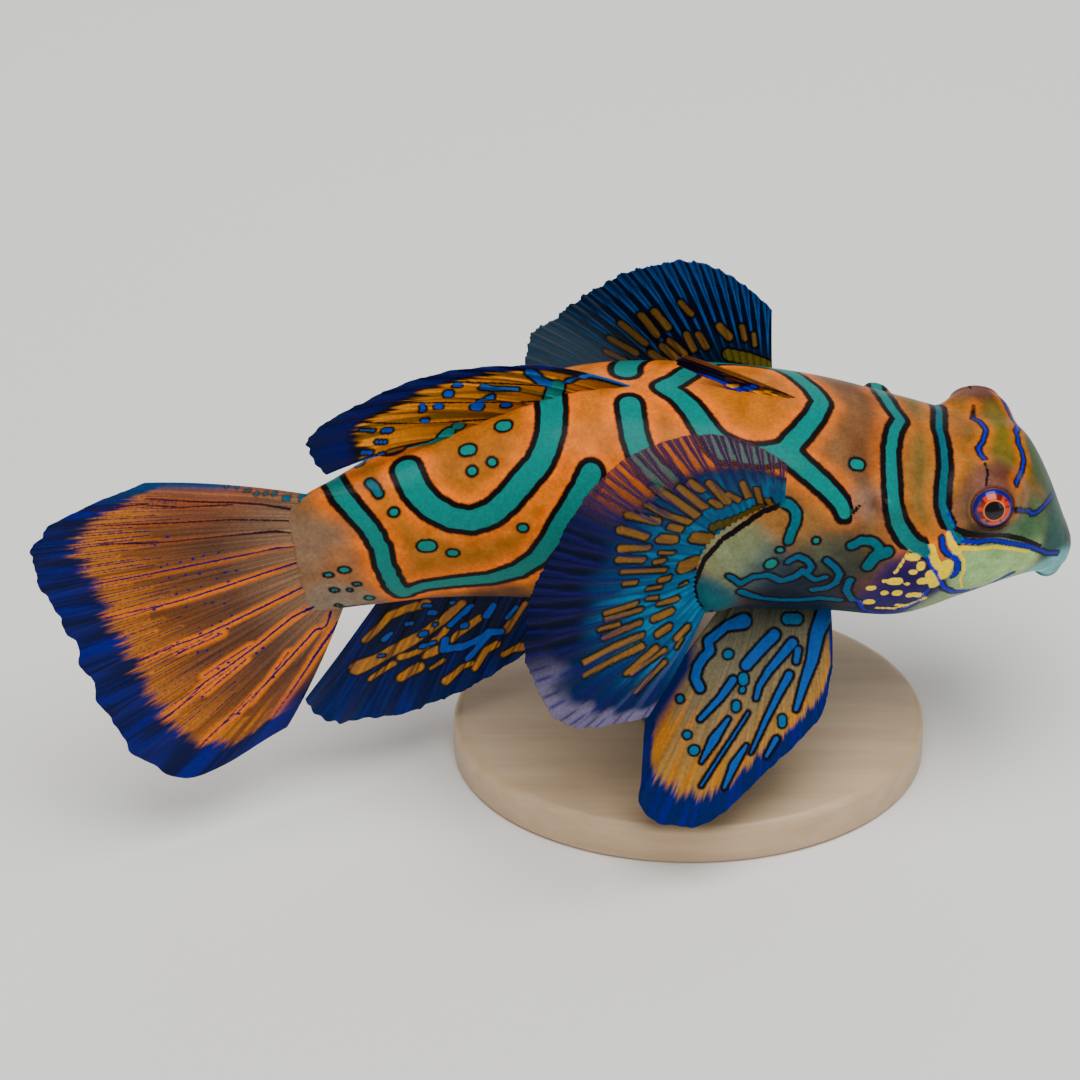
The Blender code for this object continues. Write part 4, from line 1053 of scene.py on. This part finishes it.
caudal_ground = blended(caudal_ground, linear(CAUDAL_GLOW), glow)
dark_glow = 0.5 * ramp(dark_edge, 0.25, 0.05) * ramp(u, 0.2, 0.5)
caudal_ground = blended(caudal_ground, linear(CAUDAL_DARK_GLOW), dark_glow)
margin_start = 0.80 + 0.03 * ramp(v, 0.5, 0.2) - 0.05 * ramp(v, 0.9, 1.0)
margin_streaks = 0.02 * caudal.streaks(35, 33) + 0.03 * caudal.streaks(130, 35)
margin = ramp(u + margin_streaks - margin_start, -0.025, 0.035)
top_margin = ramp(v, 0.05, 0.0) * ramp(u, 0.3, 0.6)
margin = np.maximum(margin, np.maximum(top_margin, ramp(v, 0.955, 1.0) * ramp(u, 0.4, 0.7)))
navy = blended(linear(NAVY), linear(ROYAL), 0.3 * ramp(caudal.streaks(23, 34), -0.2, 0.9))
navy = blended(navy, linear(ROYAL), 0.25 * ramp(caudal.streaks(120, 37), 0.0, 0.9))
navy = blended(navy, linear(CAUDAL_TOP_EDGE), 0.8 * ramp(v, 0.12, 0.0))
caudal_ground = blended(caudal_ground, navy, margin)
caudal.marks.draw(short_edge, linear(CAUDAL_SHORT_INK), 0.0)
caudal.marks.lines(CAUDAL_DARK, linear(CAUDAL_DARK_INK), 0.0)
caudal.marks.lines(CAUDAL_BRIGHT, linear(CAUDAL_BRIGHT_INK), 0.0)
caudal.marks.spots([(*dot, *DOT_SIZE) for dot in CAUDAL_DOTS], linear(CAUDAL_DOT_INK), 0.0)
caudal.marks.spots(CAUDAL_TEAL_SPOTS, linear(CAUDAL_SPOT_INK), 0.06)
caudal.build("caudal_fin", "fin_caudal", fin_skin, caudal_ground)


# Anal fin: eight soft rays along the belly's rear edge, navy skin with golden streaks between the
# rays and bright-blue spots with black rims, and painted shade darkening it at its root.
ANAL_ROOTS = ((0, -3.8, 0, -6.6), (0.5, -10.4, 0, -5.6), (1, -17.3, 0, -4.5))
ANAL_TIPS = (
    (0, -7.6, 0, -12.0),
    (0.2, -11.0, 0, -14.1),
    (0.4, -14.0, 0, -15.3),
    (0.7, -19.0, 0, -15.5),
    (0.9, -23.0, 0, -13.7),
    (1, -24.0, 0, -11.3),
)
ANAL_BOWS = ((0, 0, -0.08), (0, 0, -0.08))
ANAL_GOLD = {
    "long": (16, 9, ((357, 667), (378, 658), (400, 646), (423, 633), (443, 619), (461, 603))),
    "rear": (8, 10, ((366, 639), (377, 628), (389, 615), (406, 608), (425, 603))),
    "rear_tip": (6, 6, ((371, 678), (393, 663))),
    "middle": (7, 7, ((400, 656), (418, 651), (439, 637), (446, 628))),
    "middle_bit": (8, 10, ((425, 655), (436, 649))),
    "low": (12, 12, ((402, 676), (418, 667))),
    "fourth": (7, 8, ((452, 639), (461, 631), (479, 617))),
    "fourth_bit": (4, 5, ((431, 667), (443, 660))),
    "fifth": (9, 6, ((446, 680), (461, 667), (471, 663))),
    "fifth_top": (6, 9, ((475, 667), (486, 649), (496, 644))),
    "sixth": (9, 5, ((505, 630), (514, 618), (521, 608), (525, 603))),
    "front": (7, 9, ((504, 653), (521, 646))),
}
ANAL_BLUE = {
    "streak": (7, 6, ((450, 624), (471, 605))),
    "streak_front": (8, 7, ((486, 615), (493, 605))),
    "streak_first": (5, 4, ((507, 617), (516, 606))),
    "net": (9, 8, ((445, 639), (443, 649), (461, 646), (479, 639), (489, 631), (500, 631))),
    "net_low": (7, 6, ((468, 658), (480, 644), (489, 633))),
    "net_rear": (5, 4, ((421, 646), (434, 642))),
    "tail_end": (7, 5, ((384, 638), (390, 633))),
}
ANAL_SPOTS = (
    (409, 623, 9, 5), (423, 633, 10, 7), (432, 612, 11, 6), (427, 605, 10, 4), (452, 602, 6, 4),
    (381, 655, 8, 3), (464, 625, 9, 8), (435, 624, 5, 4),
)
AZURE = "0348A8"
ANAL_RAYS = 8
# Ground along the rays. Its near-black first stop is painted shade at the root, under the belly.
ANAL_ALONG_WITH_ROOT_SHADE = ((0, "0A1018"), (0.35, "06122C"), (0.6, "020E40"), (1, "04184C"))
ANAL_GLEAM = "062C60"
ANAL_TAN = "94602C"
ANAL_GOLDEN = "C07C1C"
ANAL_RIM = "06101C"
ANAL_RAY_BLACK = "030812"
anal = Fin(ANAL_ROOTS, ANAL_TIPS, ANAL_BOWS, ANAL_RAYS, rows=130, steps=30, fray=0.02)
anal_ground = anal.colour(*ANAL_ALONG_WITH_ROOT_SHADE)
anal_ground = blended(anal_ground, linear(ROYAL), 0.3 * ramp(anal.streaks(40, 41), 0.2, 0.9))
anal_ground = blended(anal_ground, linear(ANAL_GLEAM), 0.4 * ramp(anal.streaks(60, 42), 0.1, 0.8) * anal.u)
gold = blended(linear(ANAL_TAN), linear(ANAL_GOLDEN), ramp(anal.streaks(50, 43), -0.5, 0.8))
anal_ground = anal.marks.wash(anal_ground, ANAL_GOLD, gold, 0.16, linear(ANAL_RIM))
anal.marks.lines(ANAL_BLUE, linear(AZURE), 0.1)
anal.marks.spots(ANAL_SPOTS, linear(AZURE), 0.1)
ray_shade = 0.7 * ramp(anal.to_ray, 0.13, 0.03) * ramp(anal.u, 1.0, 0.6)
anal_ground = blended(anal_ground, linear(ANAL_RAY_BLACK), ray_shade)
anal.build("anal_fin", "fin_anal", fin_skin, anal_ground)


# Second dorsal fin: eight soft rays folded back over the tail, golden skin that carries the body's
# teal marks and blue spots with black rims, with a navy margin.
SECOND_DORSAL_ROOTS = ((0, -0.6, 0, 7.1), (0.5, -6.2, 0, 7.0), (1, -12.2, 0, 5.5))
SECOND_DORSAL_TIPS = (
    (0, -7.8, 0, 10.3),
    (0.3, -13.2, -0.2, 11.3),
    (0.6, -18.2, -0.7, 11.1),
    (0.85, -21.0, -1.1, 9.9),
    (1, -20.4, -1.5, 7.3),
)
SECOND_DORSAL_BOWS = ((0, 0, 0.10), (0, 0, 0.12))
DORSAL_BLUE = {
    "fork": (8, 8, ((529, 371), (541, 380), (550, 384))),
    "fork_arm": (4, 2, ((550, 384), (563, 382), (580, 376), (599, 374), (632, 382))),
    "long": (6, 3, ((482, 386), (494, 388), (517, 388))),
    "slant": (5, 4, ((491, 396), (478, 401))),
    "end_line": (2, 3, ((360, 429), (373, 430))),
    "low_line": (3, 3, ((368, 471), (358, 480))),
}
DORSAL_TEAL = {
    "loop_link": (12, 9, ((448, 432), (436, 441), (432, 447))),
    "loop_tail": (6, 2, ((432, 448), (420, 451), (408, 454))),
    "loop_top": (15, 17, ((556, 386), (552, 398), (550, 410))),
}
DORSAL_SPOTS = (
    (477, 405, 13, 9), (506, 404, 10, 6), (438, 405, 9, 5), (422, 407, 5, 10), (424, 420, 8, 4),
    (448, 393, 9, 6), (457, 384, 9, 5), (387, 430, 11, 5), (380, 441, 11, 3), (366, 452, 13, 5),
    (371, 461, 12, 4), (386, 471, 7, 5),
)
DORSAL_TEAL_SPOTS = ((458, 425, 12, 9), (444, 455, 9, 4))
# Painted shade: thin black lines where the laid-back fin's skin folds.
DORSAL_FOLD_SHADE_LINES = {
    "first": (2, 2, ((559, 386), (499, 383), (446, 381))),
    "second": (2, 2, ((559, 400), (482, 402), (383, 403))),
    "third": (2, 2, ((547, 411), (482, 419), (421, 422), (363, 422))),
}
DORSAL_EDGE_RAY = {"last_ray": (5, 6, ((482, 433), (459, 446), (416, 459), (393, 468)))}
SECOND_DORSAL_RAYS = 8
DORSAL_ALONG = ((0, "8A5014"), (0.4, "B86C08"), (0.65, "D07C04"), (1, "C07408"))
DORSAL_OLIVE = "4C3A0C"
DORSAL_RAY_BROWN = "8A4A1C"
DORSAL_RAY_RIM = "2A1408"
DORSAL_MARGIN_ALONG = ((0, "04050A"), (0.72, "06070E"), (0.8, "03054C"), (1, "020E3C"))
DORSAL_LINE_INK = "084C96"
DORSAL_SPOT_INK = "083AA8"
FOLD_SHADE_BLACK = "100808"
dorsal_fan = (SECOND_DORSAL_ROOTS, SECOND_DORSAL_TIPS, SECOND_DORSAL_BOWS, SECOND_DORSAL_RAYS)
dorsal = Fin(*dorsal_fan, rows=130, steps=30, fray=0.015)
u, v = dorsal.u, dorsal.v
dorsal_ground = dorsal.colour(*DORSAL_ALONG)
dorsal_ground = blended(dorsal_ground, linear(DORSAL_OLIVE), 0.8 * ramp(dorsal.streaks(14, 51), 0.0, 0.7))
dorsal_ground *= (1 + 0.2 * dorsal.streaks(60, 52))[..., None]
last_ray = (DORSAL_EDGE_RAY, linear(DORSAL_RAY_BROWN), 0.1, linear(DORSAL_RAY_RIM))
dorsal_ground = dorsal.marks.wash(dorsal_ground, *last_ray)
dorsal_margin = ramp(u + 0.05 * dorsal.streaks(26, 53), 0.66, 0.72)
dorsal_margin = np.maximum(dorsal_margin, ramp(v, 0.1, 0.05) * ramp(u, 0.3, 0.5))
dorsal_ground = blended(dorsal_ground, dorsal.colour(*DORSAL_MARGIN_ALONG), dorsal_margin)
dorsal.marks.lines(DORSAL_BLUE, linear(DORSAL_LINE_INK), 0.13)
dorsal.marks.lines(DORSAL_TEAL, linear(TEAL), 0.15)
dorsal.marks.spots(DORSAL_SPOTS, linear(DORSAL_SPOT_INK), 0.12)
dorsal.marks.spots(DORSAL_TEAL_SPOTS, linear(TEAL), 0.12)
# Painted shade in the fin's folds.
dorsal.marks.lines(DORSAL_FOLD_SHADE_LINES, linear(FOLD_SHADE_BLACK), 0.0)
dorsal.build("second_dorsal_fin", "fin_dorsal", fin_skin, dorsal_ground)


# First dorsal fin: four thin spines laid back along the shoulder under dark skin with blue, purple
# and yellow streaks.
FIRST_DORSAL_ROOTS = ((0, 8.8, 0, 6.3), (0.5, 6.8, 0, 6.8), (1, 4.6, 0, 7.1))
FIRST_DORSAL_TIPS = ((0, 1.2, 0.4, 9.9), (0.5, 0.8, 0.6, 9.4), (1, 0.9, 0.8, 8.8))
FIRST_DORSAL_BOWS = ((0, 0, 0.08), (0, 0, 0.08))
FIRST_DORSAL_PURPLE = {
    "front": (20, 24, ((672, 384), (690, 388), (708, 384))),
    "rear": (14, 8, ((708, 384), (732, 388), (752, 388))),
}
FIRST_DORSAL_ROYAL = {
    "upper": (4, 4, ((693, 372), (708, 376), (726, 382))),
    "lower": (6, 6, ((722, 391), (738, 390), (754, 386))),
    "tip": (4, 4, ((676, 385), (688, 390), (700, 395))),
}
FIRST_DORSAL_GOLD = {
    "top": (3, 3, ((676, 375), (693, 377))),
    "root": (4, 4, ((751, 392), (770, 391))),
    "middle": (4, 4, ((716, 387), (737, 385))),
    "spot": (4, 4, ((708, 382), (716, 382))),
    "low": (3, 3, ((696, 391), (702, 391))),
    "rear": (3, 3, ((772, 394), (782, 396))),
}
# Painted shade: thin black lines where the laid-back fin's skin folds.
FIRST_DORSAL_FOLD_SHADE_LINES = {
    "upper": (2, 2, ((684, 363), (730, 376), (788, 394))),
    "lower": (2, 2, ((690, 371), (740, 384), (780, 394))),
}
FIRST_DORSAL_SPINES = 4
FIRST_DORSAL_ALONG = ((0, "6A3412"), (0.5, "6E3C10"), (1, "4A240E"))
FIRST_DORSAL_PURPLE_BLACK = "0A0626"
FIRST_DORSAL_YELLOW = "D89004"
first_fan = (FIRST_DORSAL_ROOTS, FIRST_DORSAL_TIPS, FIRST_DORSAL_BOWS, FIRST_DORSAL_SPINES)
first_dorsal = Fin(*first_fan, rows=60, steps=24, branch=0.0, fray=0.01)
first_ground = first_dorsal.colour(*FIRST_DORSAL_ALONG)
first_ground *= (1 + 0.3 * first_dorsal.streaks(30, 61))[..., None]
purple = linear(FIRST_DORSAL_PURPLE_BLACK)
first_ground = first_dorsal.marks.wash(first_ground, FIRST_DORSAL_PURPLE, purple, 0.25, purple)
first_dorsal.marks.lines(FIRST_DORSAL_ROYAL, linear(ROYAL), 0.05)
first_dorsal.marks.lines(FIRST_DORSAL_GOLD, linear(FIRST_DORSAL_YELLOW), 0.05)
# Painted shade in the fin's folds.
first_dorsal.marks.lines(FIRST_DORSAL_FOLD_SHADE_LINES, linear(FOLD_SHADE_BLACK), 0.0)
first_dorsal.build("first_dorsal_fin", "fin_dorsal", fin_skin, first_ground)


# Pectoral fins: wide thin fans on fleshy bases behind the gills, 28 branched rays each. The web is
# blue with rows of golden blotches, clears to brown-pink at its upper edge and fades to lilac below.
PECTORAL_ROOTS = (
    (0, 7.2, 6.0, 3.5),
    (0.25, 5.0, 6.3, 2.2),
    (0.5, 3.4, 6.4, 0.2),
    (0.75, 2.6, 6.4, -2.0),
    (1, 2.9, 5.9, -4.2),
)
PECTORAL_TIPS = (
    (0, 7.2, 7.6, 7.7),
    (0.1, 5.2, 8.0, 9.6),
    (0.22, 2.4, 8.5, 10.9),
    (0.36, -1.2, 8.9, 10.2),
    (0.48, -4.2, 9.6, 8.0),
    (0.6, -6.6, 11.2, 4.5),
    (0.72, -8.4, 13.2, 1.0),
    (0.8, -8.5, 14.2, -2.4),
    (0.9, -5.9, 14.8, -7.2),
    (1, -0.9, 13.2, -7.8),
)
PECTORAL_BOWS = ((0, 0.25, 0), (0, 0.25, 0))
PECTORAL_RAYS = 28
PECTORAL_GOLD = {
    "heart": (14, 14, ((695, 536), (707, 538))),
    "heart_low": (16, 16, ((683, 565), (693, 562))),
    "upper_1": (5, 5, ((772, 506), (767, 498))),
    "upper_2": (5, 5, ((760, 501), (756, 487))),
    "upper_3": (7, 6, ((748, 495), (742, 482))),
    "upper_4": (6, 6, ((738, 499), (728, 493))),
    "upper_5": (8, 8, ((727, 501), (718, 491), (710, 482))),
    "upper_6": (7, 7, ((719, 505), (712, 500))),
    "upper_7": (8, 8, ((702, 489), (690, 482))),
    "upper_8": (8, 7, ((704, 506), (690, 495), (679, 487))),
    "upper_9": (8, 7, ((696, 514), (674, 499), (652, 486))),
    "middle_1": (6, 6, ((689, 521), (668, 515), (647, 504))),
    "middle_2": (7, 7, ((680, 528), (670, 526))),
    "middle_3": (10, 10, ((673, 539), (660, 538))),
    "middle_4": (8, 8, ((657, 521), (628, 514))),
    "middle_5": (8, 8, ((645, 536), (620, 529))),
    "middle_6": (7, 7, ((647, 547), (620, 548))),
    "middle_7": (4, 4, ((672, 552), (660, 552))),
    "middle_8": (6, 6, ((662, 560), (655, 561))),
    "middle_9": (7, 7, ((642, 559), (618, 559))),
    "middle_10": (5, 5, ((664, 569), (622, 571))),
    "middle_11": (6, 6, ((668, 577), (660, 579))),
    "middle_12": (5, 5, ((635, 582), (624, 583))),
    "middle_13": (4, 4, ((660, 586), (647, 588))),
    "middle_14": (3, 3, ((685, 582), (679, 585))),
    "lower_1": (4, 4, ((656, 597), (647, 598))),
    "lower_2": (5, 5, ((676, 598), (658, 603))),
    "lower_3": (6, 5, ((635, 603), (605, 613))),
    "lower_4": (5, 4, ((640, 609), (605, 619))),
    "lower_5": (7, 7, ((670, 611), (653, 618))),
    "lower_6": (4, 4, ((618, 624), (599, 629))),
    "lower_7": (6, 6, ((639, 622), (603, 637))),
    "lower_8": (7, 7, ((668, 627), (657, 634))),
    "lower_9": (6, 6, ((687, 627), (676, 638))),
    "lower_10": (6, 5, ((641, 635), (612, 647), (584, 662))),
    "lower_11": (3, 3, ((681, 639), (676, 647))),
    "lower_12": (6, 5, ((641, 646), (612, 660), (584, 675))),
    "lower_13": (6, 5, ((655, 648), (626, 673))),
    "lower_14": (4, 4, ((664, 650), (631, 673))),
    "lower_15": (4, 4, ((664, 662), (635, 692))),
}
FAR_PECTORAL_GOLD = {
    "foot_1": (7, 7, ((699, 334), (706, 346))),
    "foot_2": (7, 7, ((687, 334), (694, 348))),
    "foot_3": (7, 7, ((670, 340), (685, 353))),
    "foot_4": (9, 9, ((663, 346), (678, 359))),
    "foot_5": (9, 9, ((653, 353), (672, 365))),
    "foot_6": (8, 8, ((641, 363), (657, 368))),
    "middle_1": (8, 8, ((642, 315), (657, 334))),
    "middle_2": (8, 8, ((655, 311), (668, 326))),
    "middle_3": (8, 8, ((622, 323), (645, 342))),
    "middle_4": (8, 8, ((611, 338), (636, 352))),
    "middle_5": (7, 7, ((607, 351), (628, 361))),
    "middle_6": (6, 6, ((681, 302), (691, 313))),
    "front_1": (5, 5, ((742, 326), (745, 338))),
    "front_2": (4, 4, ((754, 334), (755, 344))),
    "front_3": (8, 8, ((720, 326), (729, 336))),
}
FAR_PECTORAL_OLIVE = {"foot": (12, 12, ((729, 354), (748, 358), (766, 365)))}
PECTORAL_OLIVE = {"band": (13, 9, ((715, 525), (732, 519), (748, 511), (763, 502)))}
PECTORAL_CRESCENT = {"web": (14, 10, ((698, 560), (712, 545), (735, 532), (757, 521), (768, 511)))}
WEB_ALONG = ((0, "06648C"), (0.35, "03416C"), (0.7, "021E48"), (1, "021434"))
WEB_GLEAM = "067CA4"
WEB_BROWN = "7A4028"
WEB_NAVY = "020824"
WEB_LILAC = "6E6684"
CRESCENT_BLUE = "0478A4"
CRESCENT_RIM = "02304A"
OLIVE_BAND = "4E4210"
OLIVE_RIM = "02040A"
BLOTCH_GOLD = "7C5620"
BLOTCH_RIM = "020610"
RAY_PURPLE = "120A50"
FAR_WEB_ALONG = ((0, "042038"), (0.5, "020C22"), (1, "03142E"))
FAR_RAY_BLUE = "0452A0"
FAR_END_GREY = "0E4A66"
FAR_OLIVE = "4E4A14"
FAR_GOLD = "6A4E20"
pectoral_fan = (PECTORAL_ROOTS, PECTORAL_TIPS, PECTORAL_BOWS, PECTORAL_RAYS)
pectoral_grid = {"rows": 170, "steps": 10, "branch": 0.25, "fray": 0.012, "scallop": 0.008}
pectoral = Fin(*pectoral_fan, side=-1, pleat=0.05, **pectoral_grid)
u, v = pectoral.u, pectoral.v
web = pectoral.colour(*WEB_ALONG)
web = blended(web, linear(WEB_GLEAM), 0.5 * ramp(pectoral.streaks(30, 71), 0.2, 0.8) * ramp(u, 0.7, 0.4))
upper = ramp(v, 0.56, 0.44)
outer = ramp(u + 0.04 * pectoral.streaks(12, 72), 0.62, 0.76)
web = blended(web, linear(WEB_BROWN), upper * outer)
navy_part = ramp(v, 0.5, 0.6) * ramp(v, 0.85, 0.78) * outer
web = blended(web, linear(WEB_NAVY), navy_part)
pale_part = ramp(v, 0.78, 0.86) * ramp(u + 0.05 * pectoral.streaks(20, 73), 0.8, 0.92)
web = blended(web, linear(WEB_LILAC), pale_part)
clear = 0.72 * upper * ramp(u, 0.6, 0.72) + 0.3 * pale_part
web = pectoral.marks.wash(web, PECTORAL_CRESCENT, linear(CRESCENT_BLUE), 0.2, linear(CRESCENT_RIM))
web = pectoral.marks.wash(web, PECTORAL_OLIVE, linear(OLIVE_BAND), 0.1, linear(OLIVE_RIM))
web = pectoral.marks.wash(web, PECTORAL_GOLD, linear(BLOTCH_GOLD), 0.12, linear(BLOTCH_RIM))
ray_line = ramp(pectoral.to_ray, 0.1, 0.03) * ramp(u, 0.3, 0.6)
web = blended(web, linear(RAY_PURPLE), 0.85 * ray_line)
clear = clear * (1 - 0.9 * ray_line)
pectoral.build("pectoral_fin_right", "fin_pectoral", clear_fin_skin, web, clear)

# The left one shows its inner face: navy, with blue rays, gold at its foot and a grey-blue rear end.
far_pectoral = Fin(*pectoral_fan, side=1, pleat=0.03, **pectoral_grid)
far_web = far_pectoral.colour(*FAR_WEB_ALONG)
far_rays = 0.85 * ramp(far_pectoral.to_ray, 0.08, 0.02) * ramp(u, 0.2, 0.5)
far_web = blended(far_web, linear(FAR_RAY_BLUE), far_rays)
pale_end = ramp(v, 0.5, 0.66) * ramp(u, 0.35, 0.6)
far_web = blended(far_web, linear(FAR_END_GREY), 0.7 * pale_end)
far_web = far_pectoral.marks.wash(far_web, FAR_PECTORAL_OLIVE, linear(FAR_OLIVE), 0.1, linear(OLIVE_RIM))
far_web = far_pectoral.marks.wash(far_web, FAR_PECTORAL_GOLD, linear(FAR_GOLD), 0.16, linear(BLOTCH_RIM))
far_pectoral.build("pectoral_fin_left", "fin_pectoral", clear_fin_skin, far_web, 0.1 * pale_end)


# Pelvic fins: broad fans under the belly, six branched rays each, on tan to orange skin with blue
# streaks rimmed in black and a navy margin.
PELVIC_ROOTS = ((0, 10.4, 3.4, -6.4), (0.5, 7.4, 4.0, -6.3), (1, 4.1, 4.6, -5.2))
PELVIC_TIPS = (
    (0, 10.4, 6.9, -9.6),
    (0.25, 9.5, 8.9, -12.0),
    (0.5, 6.3, 11.0, -14.5),
    (0.75, 1.5, 13.3, -17.3),
    (0.9, -1.5, 12.1, -15.8),
    (1, -0.8, 8.3, -11.2),
)
PELVIC_BOWS = ((0.06, 0.15, 0), (-0.1, 0.15, 0))
PELVIC_BLUE = {
    "bean": (11, 10, ((774, 635), (760, 649), (746, 665))),
    "wave_root": (14, 8, ((743, 621), (726, 626))),
    "wave": (8, 8, ((726, 626), (718, 633), (708, 641), (710, 651), (703, 658), (698, 666), (695, 678),
             (700, 688))),
    "dash": (7, 4, ((733, 680), (720, 698), (700, 719))),
    "third": (9, 4, ((792, 643), (781, 656), (769, 670), (759, 686), (756, 698))),
    "third_line": (2, 2, ((748, 713), (720, 756), (701, 786))),
    "second": (7, 2, ((789, 675), (779, 693), (766, 719), (751, 753))),
    "first": (16, 4, ((826, 612), (817, 633), (812, 660), (804, 683), (796, 709))),
    "first_bit": (6, 5, ((798, 650), (796, 661))),
    "fourth": (3, 8, ((728, 719), (714, 739))),
    "fourth_end": (8, 2, ((714, 739), (701, 762))),
    "front_low": (5, 3, ((776, 739), (766, 756))),
    "low": (3, 7, ((746, 746), (734, 764))),
    "low_end": (7, 3, ((734, 764), (724, 787))),
}
PELVIC_SPOTS = (
    (792, 619, 20, 11), (743, 679, 9, 12), (742, 690, 5, 6), (728, 654, 9, 8), (736, 706, 7, 10),
    (687, 735, 7, 7), (694, 750, 9, 9), (782, 721, 7, 12), (680, 699, 6, 7),
)
PELVIC_RAYS = 6
PELVIC_ALONG = ((0, "34382E"), (0.25, "66604A"), (0.5, "7A6644"), (0.8, "A0702C"), (1, "8C5C1C"))
PELVIC_ORANGE = "B46C10"
PELVIC_MARGIN_NAVY = "021A54"
PELVIC_MARGIN_ROYAL = "06067A"
PELVIC_LINE_INK = "034C96"
PELVIC_SPOT_INK = "045C88"
pelvic_fan = (PELVIC_ROOTS, PELVIC_TIPS, PELVIC_BOWS, PELVIC_RAYS)
pelvic = Fin(*pelvic_fan, rows=150, steps=34, side=-1, fray=0.015, pleat=0.03)
u, v = pelvic.u, pelvic.v
pelvic_ground = pelvic.colour(*PELVIC_ALONG)
orange = 0.8 * ramp(pelvic.streaks(22, 81), 0.1, 0.7) * ramp(u, 0.3, 0.7)
pelvic_ground = blended(pelvic_ground, linear(PELVIC_ORANGE), orange)
pelvic_ground *= (1 + 0.2 * pelvic.streaks(60, 82))[..., None]
pelvic_margin = ramp(u + 0.02 * pelvic.streaks(24, 83) + 0.025 * pelvic.streaks(90, 85), 0.79, 0.85)
pelvic_margin = np.maximum(pelvic_margin, ramp(v, 0.93, 0.97) * ramp(u, 0.3, 0.5))
pelvic_margin = np.maximum(pelvic_margin, ramp(v, 0.06, 0.03))
royal = 0.7 * ramp(pelvic.streaks(36, 84), 0.0, 0.9)
pelvic_navy = blended(linear(PELVIC_MARGIN_NAVY), linear(PELVIC_MARGIN_ROYAL), royal)
pelvic_ground = blended(pelvic_ground, pelvic_navy, pelvic_margin)
pelvic.marks.lines(PELVIC_BLUE, linear(PELVIC_LINE_INK), 0.16)
pelvic.marks.spots(PELVIC_SPOTS, linear(PELVIC_SPOT_INK), 0.12)
pelvic.build("pelvic_fin_right", "fin_pelvic", fin_skin, pelvic_ground)

# The left one is hidden in the photograph and takes the right one's colours and marks.
far_pelvic = Fin(*pelvic_fan, rows=150, steps=34, side=1, fray=0.015, pleat=0.05)
far_pelvic.marks = pelvic.marks
far_pelvic.build("pelvic_fin_left", "fin_pelvic", fin_skin, pelvic_ground)


# Floor and light: a pale studio floor under the stand, and four soft square lights, as round a museum
# case: a large one above, a smaller one on each side of the camera and one behind.
FLOOR_REACH = 3.0
FLOOR_WHITE = "F2F0EC"
SKY_GREY = "D8DCE2"
SKY_STRENGTH = 0.3
# Each light's place and size in metres, and its watts.
LIGHTS = {
    "key_light": ((0.02, -0.1, 0.42), 0.3, 2.3),
    "left_light": ((-0.34, -0.3, 0.16), 0.25, 0.28),
    "right_light": ((0.36, -0.24, 0.18), 0.25, 0.25),
    "back_light": ((0.05, 0.36, 0.2), 0.25, 0.3),
}
floor_mesh = bpy.data.meshes.new("floor")
floor_corners = [(FLOOR_REACH * x, FLOOR_REACH * y, 0) for x, y in ((-1, -1), (1, -1), (1, 1), (-1, 1))]
floor_mesh.from_pydata(floor_corners, [], [(0, 1, 2, 3)])
floor = bpy.data.objects.new("floor", floor_mesh)
bpy.context.scene.collection.objects.link(floor)
# Matt wall paint on a board: nearly white and without any glint, so that only soft shadows show.
matt = {"Roughness": 0.9, "Base Color": (*linear(FLOOR_WHITE), 1.0)}
floor_paint, tree, shader = new_finish("pale_matt_floor_paint", matt)
floor_mesh.materials.append(floor_paint)
fish_middle = Vector(to_row(np.array([0.0, 0.0, AXIS_HEIGHT])))
for name, (place, size, power) in LIGHTS.items():
    data = bpy.data.lights.new(name, "AREA")
    data.size = size
    data.energy = power
    light = bpy.data.objects.new(name, data)
    light.location = place
    light.rotation_euler = (fish_middle - Vector(place)).to_track_quat("-Z", "Y").to_euler()
    bpy.context.scene.collection.objects.link(light)
world = bpy.data.worlds.new("studio")
world.use_nodes = True
sky = world.node_tree.nodes["Background"]
sky.inputs["Color"].default_value = (*linear(SKY_GREY), 1.0)
sky.inputs["Strength"].default_value = SKY_STRENGTH
bpy.context.scene.world = world


# Camera: a long lens, square to the fish's length and 40 degrees above it, as in the photograph. The
# image is 1080 pixels wide, and 16 of them are a millimetre at the fish.
SENSOR_WIDTH = 36.0
NEAREST_SEEN = 0.01
camera_data = bpy.data.cameras.new("photo_camera")
camera_data.sensor_width = SENSOR_WIDTH
camera_data.lens = SENSOR_WIDTH * CAMERA_DISTANCE * PIXELS_PER_MM / (2 * PHOTO_MIDDLE)
camera_data.clip_start = NEAREST_SEEN
camera = bpy.data.objects.new("photo_camera", camera_data)
camera.location = Vector(to_row(AIM + CAMERA_DISTANCE * TO_CAMERA))
camera.rotation_euler = (np.pi / 2 - CAMERA_LIFT, 0.0, 0.0)
bpy.context.scene.collection.objects.link(camera)
bpy.context.scene.camera = camera
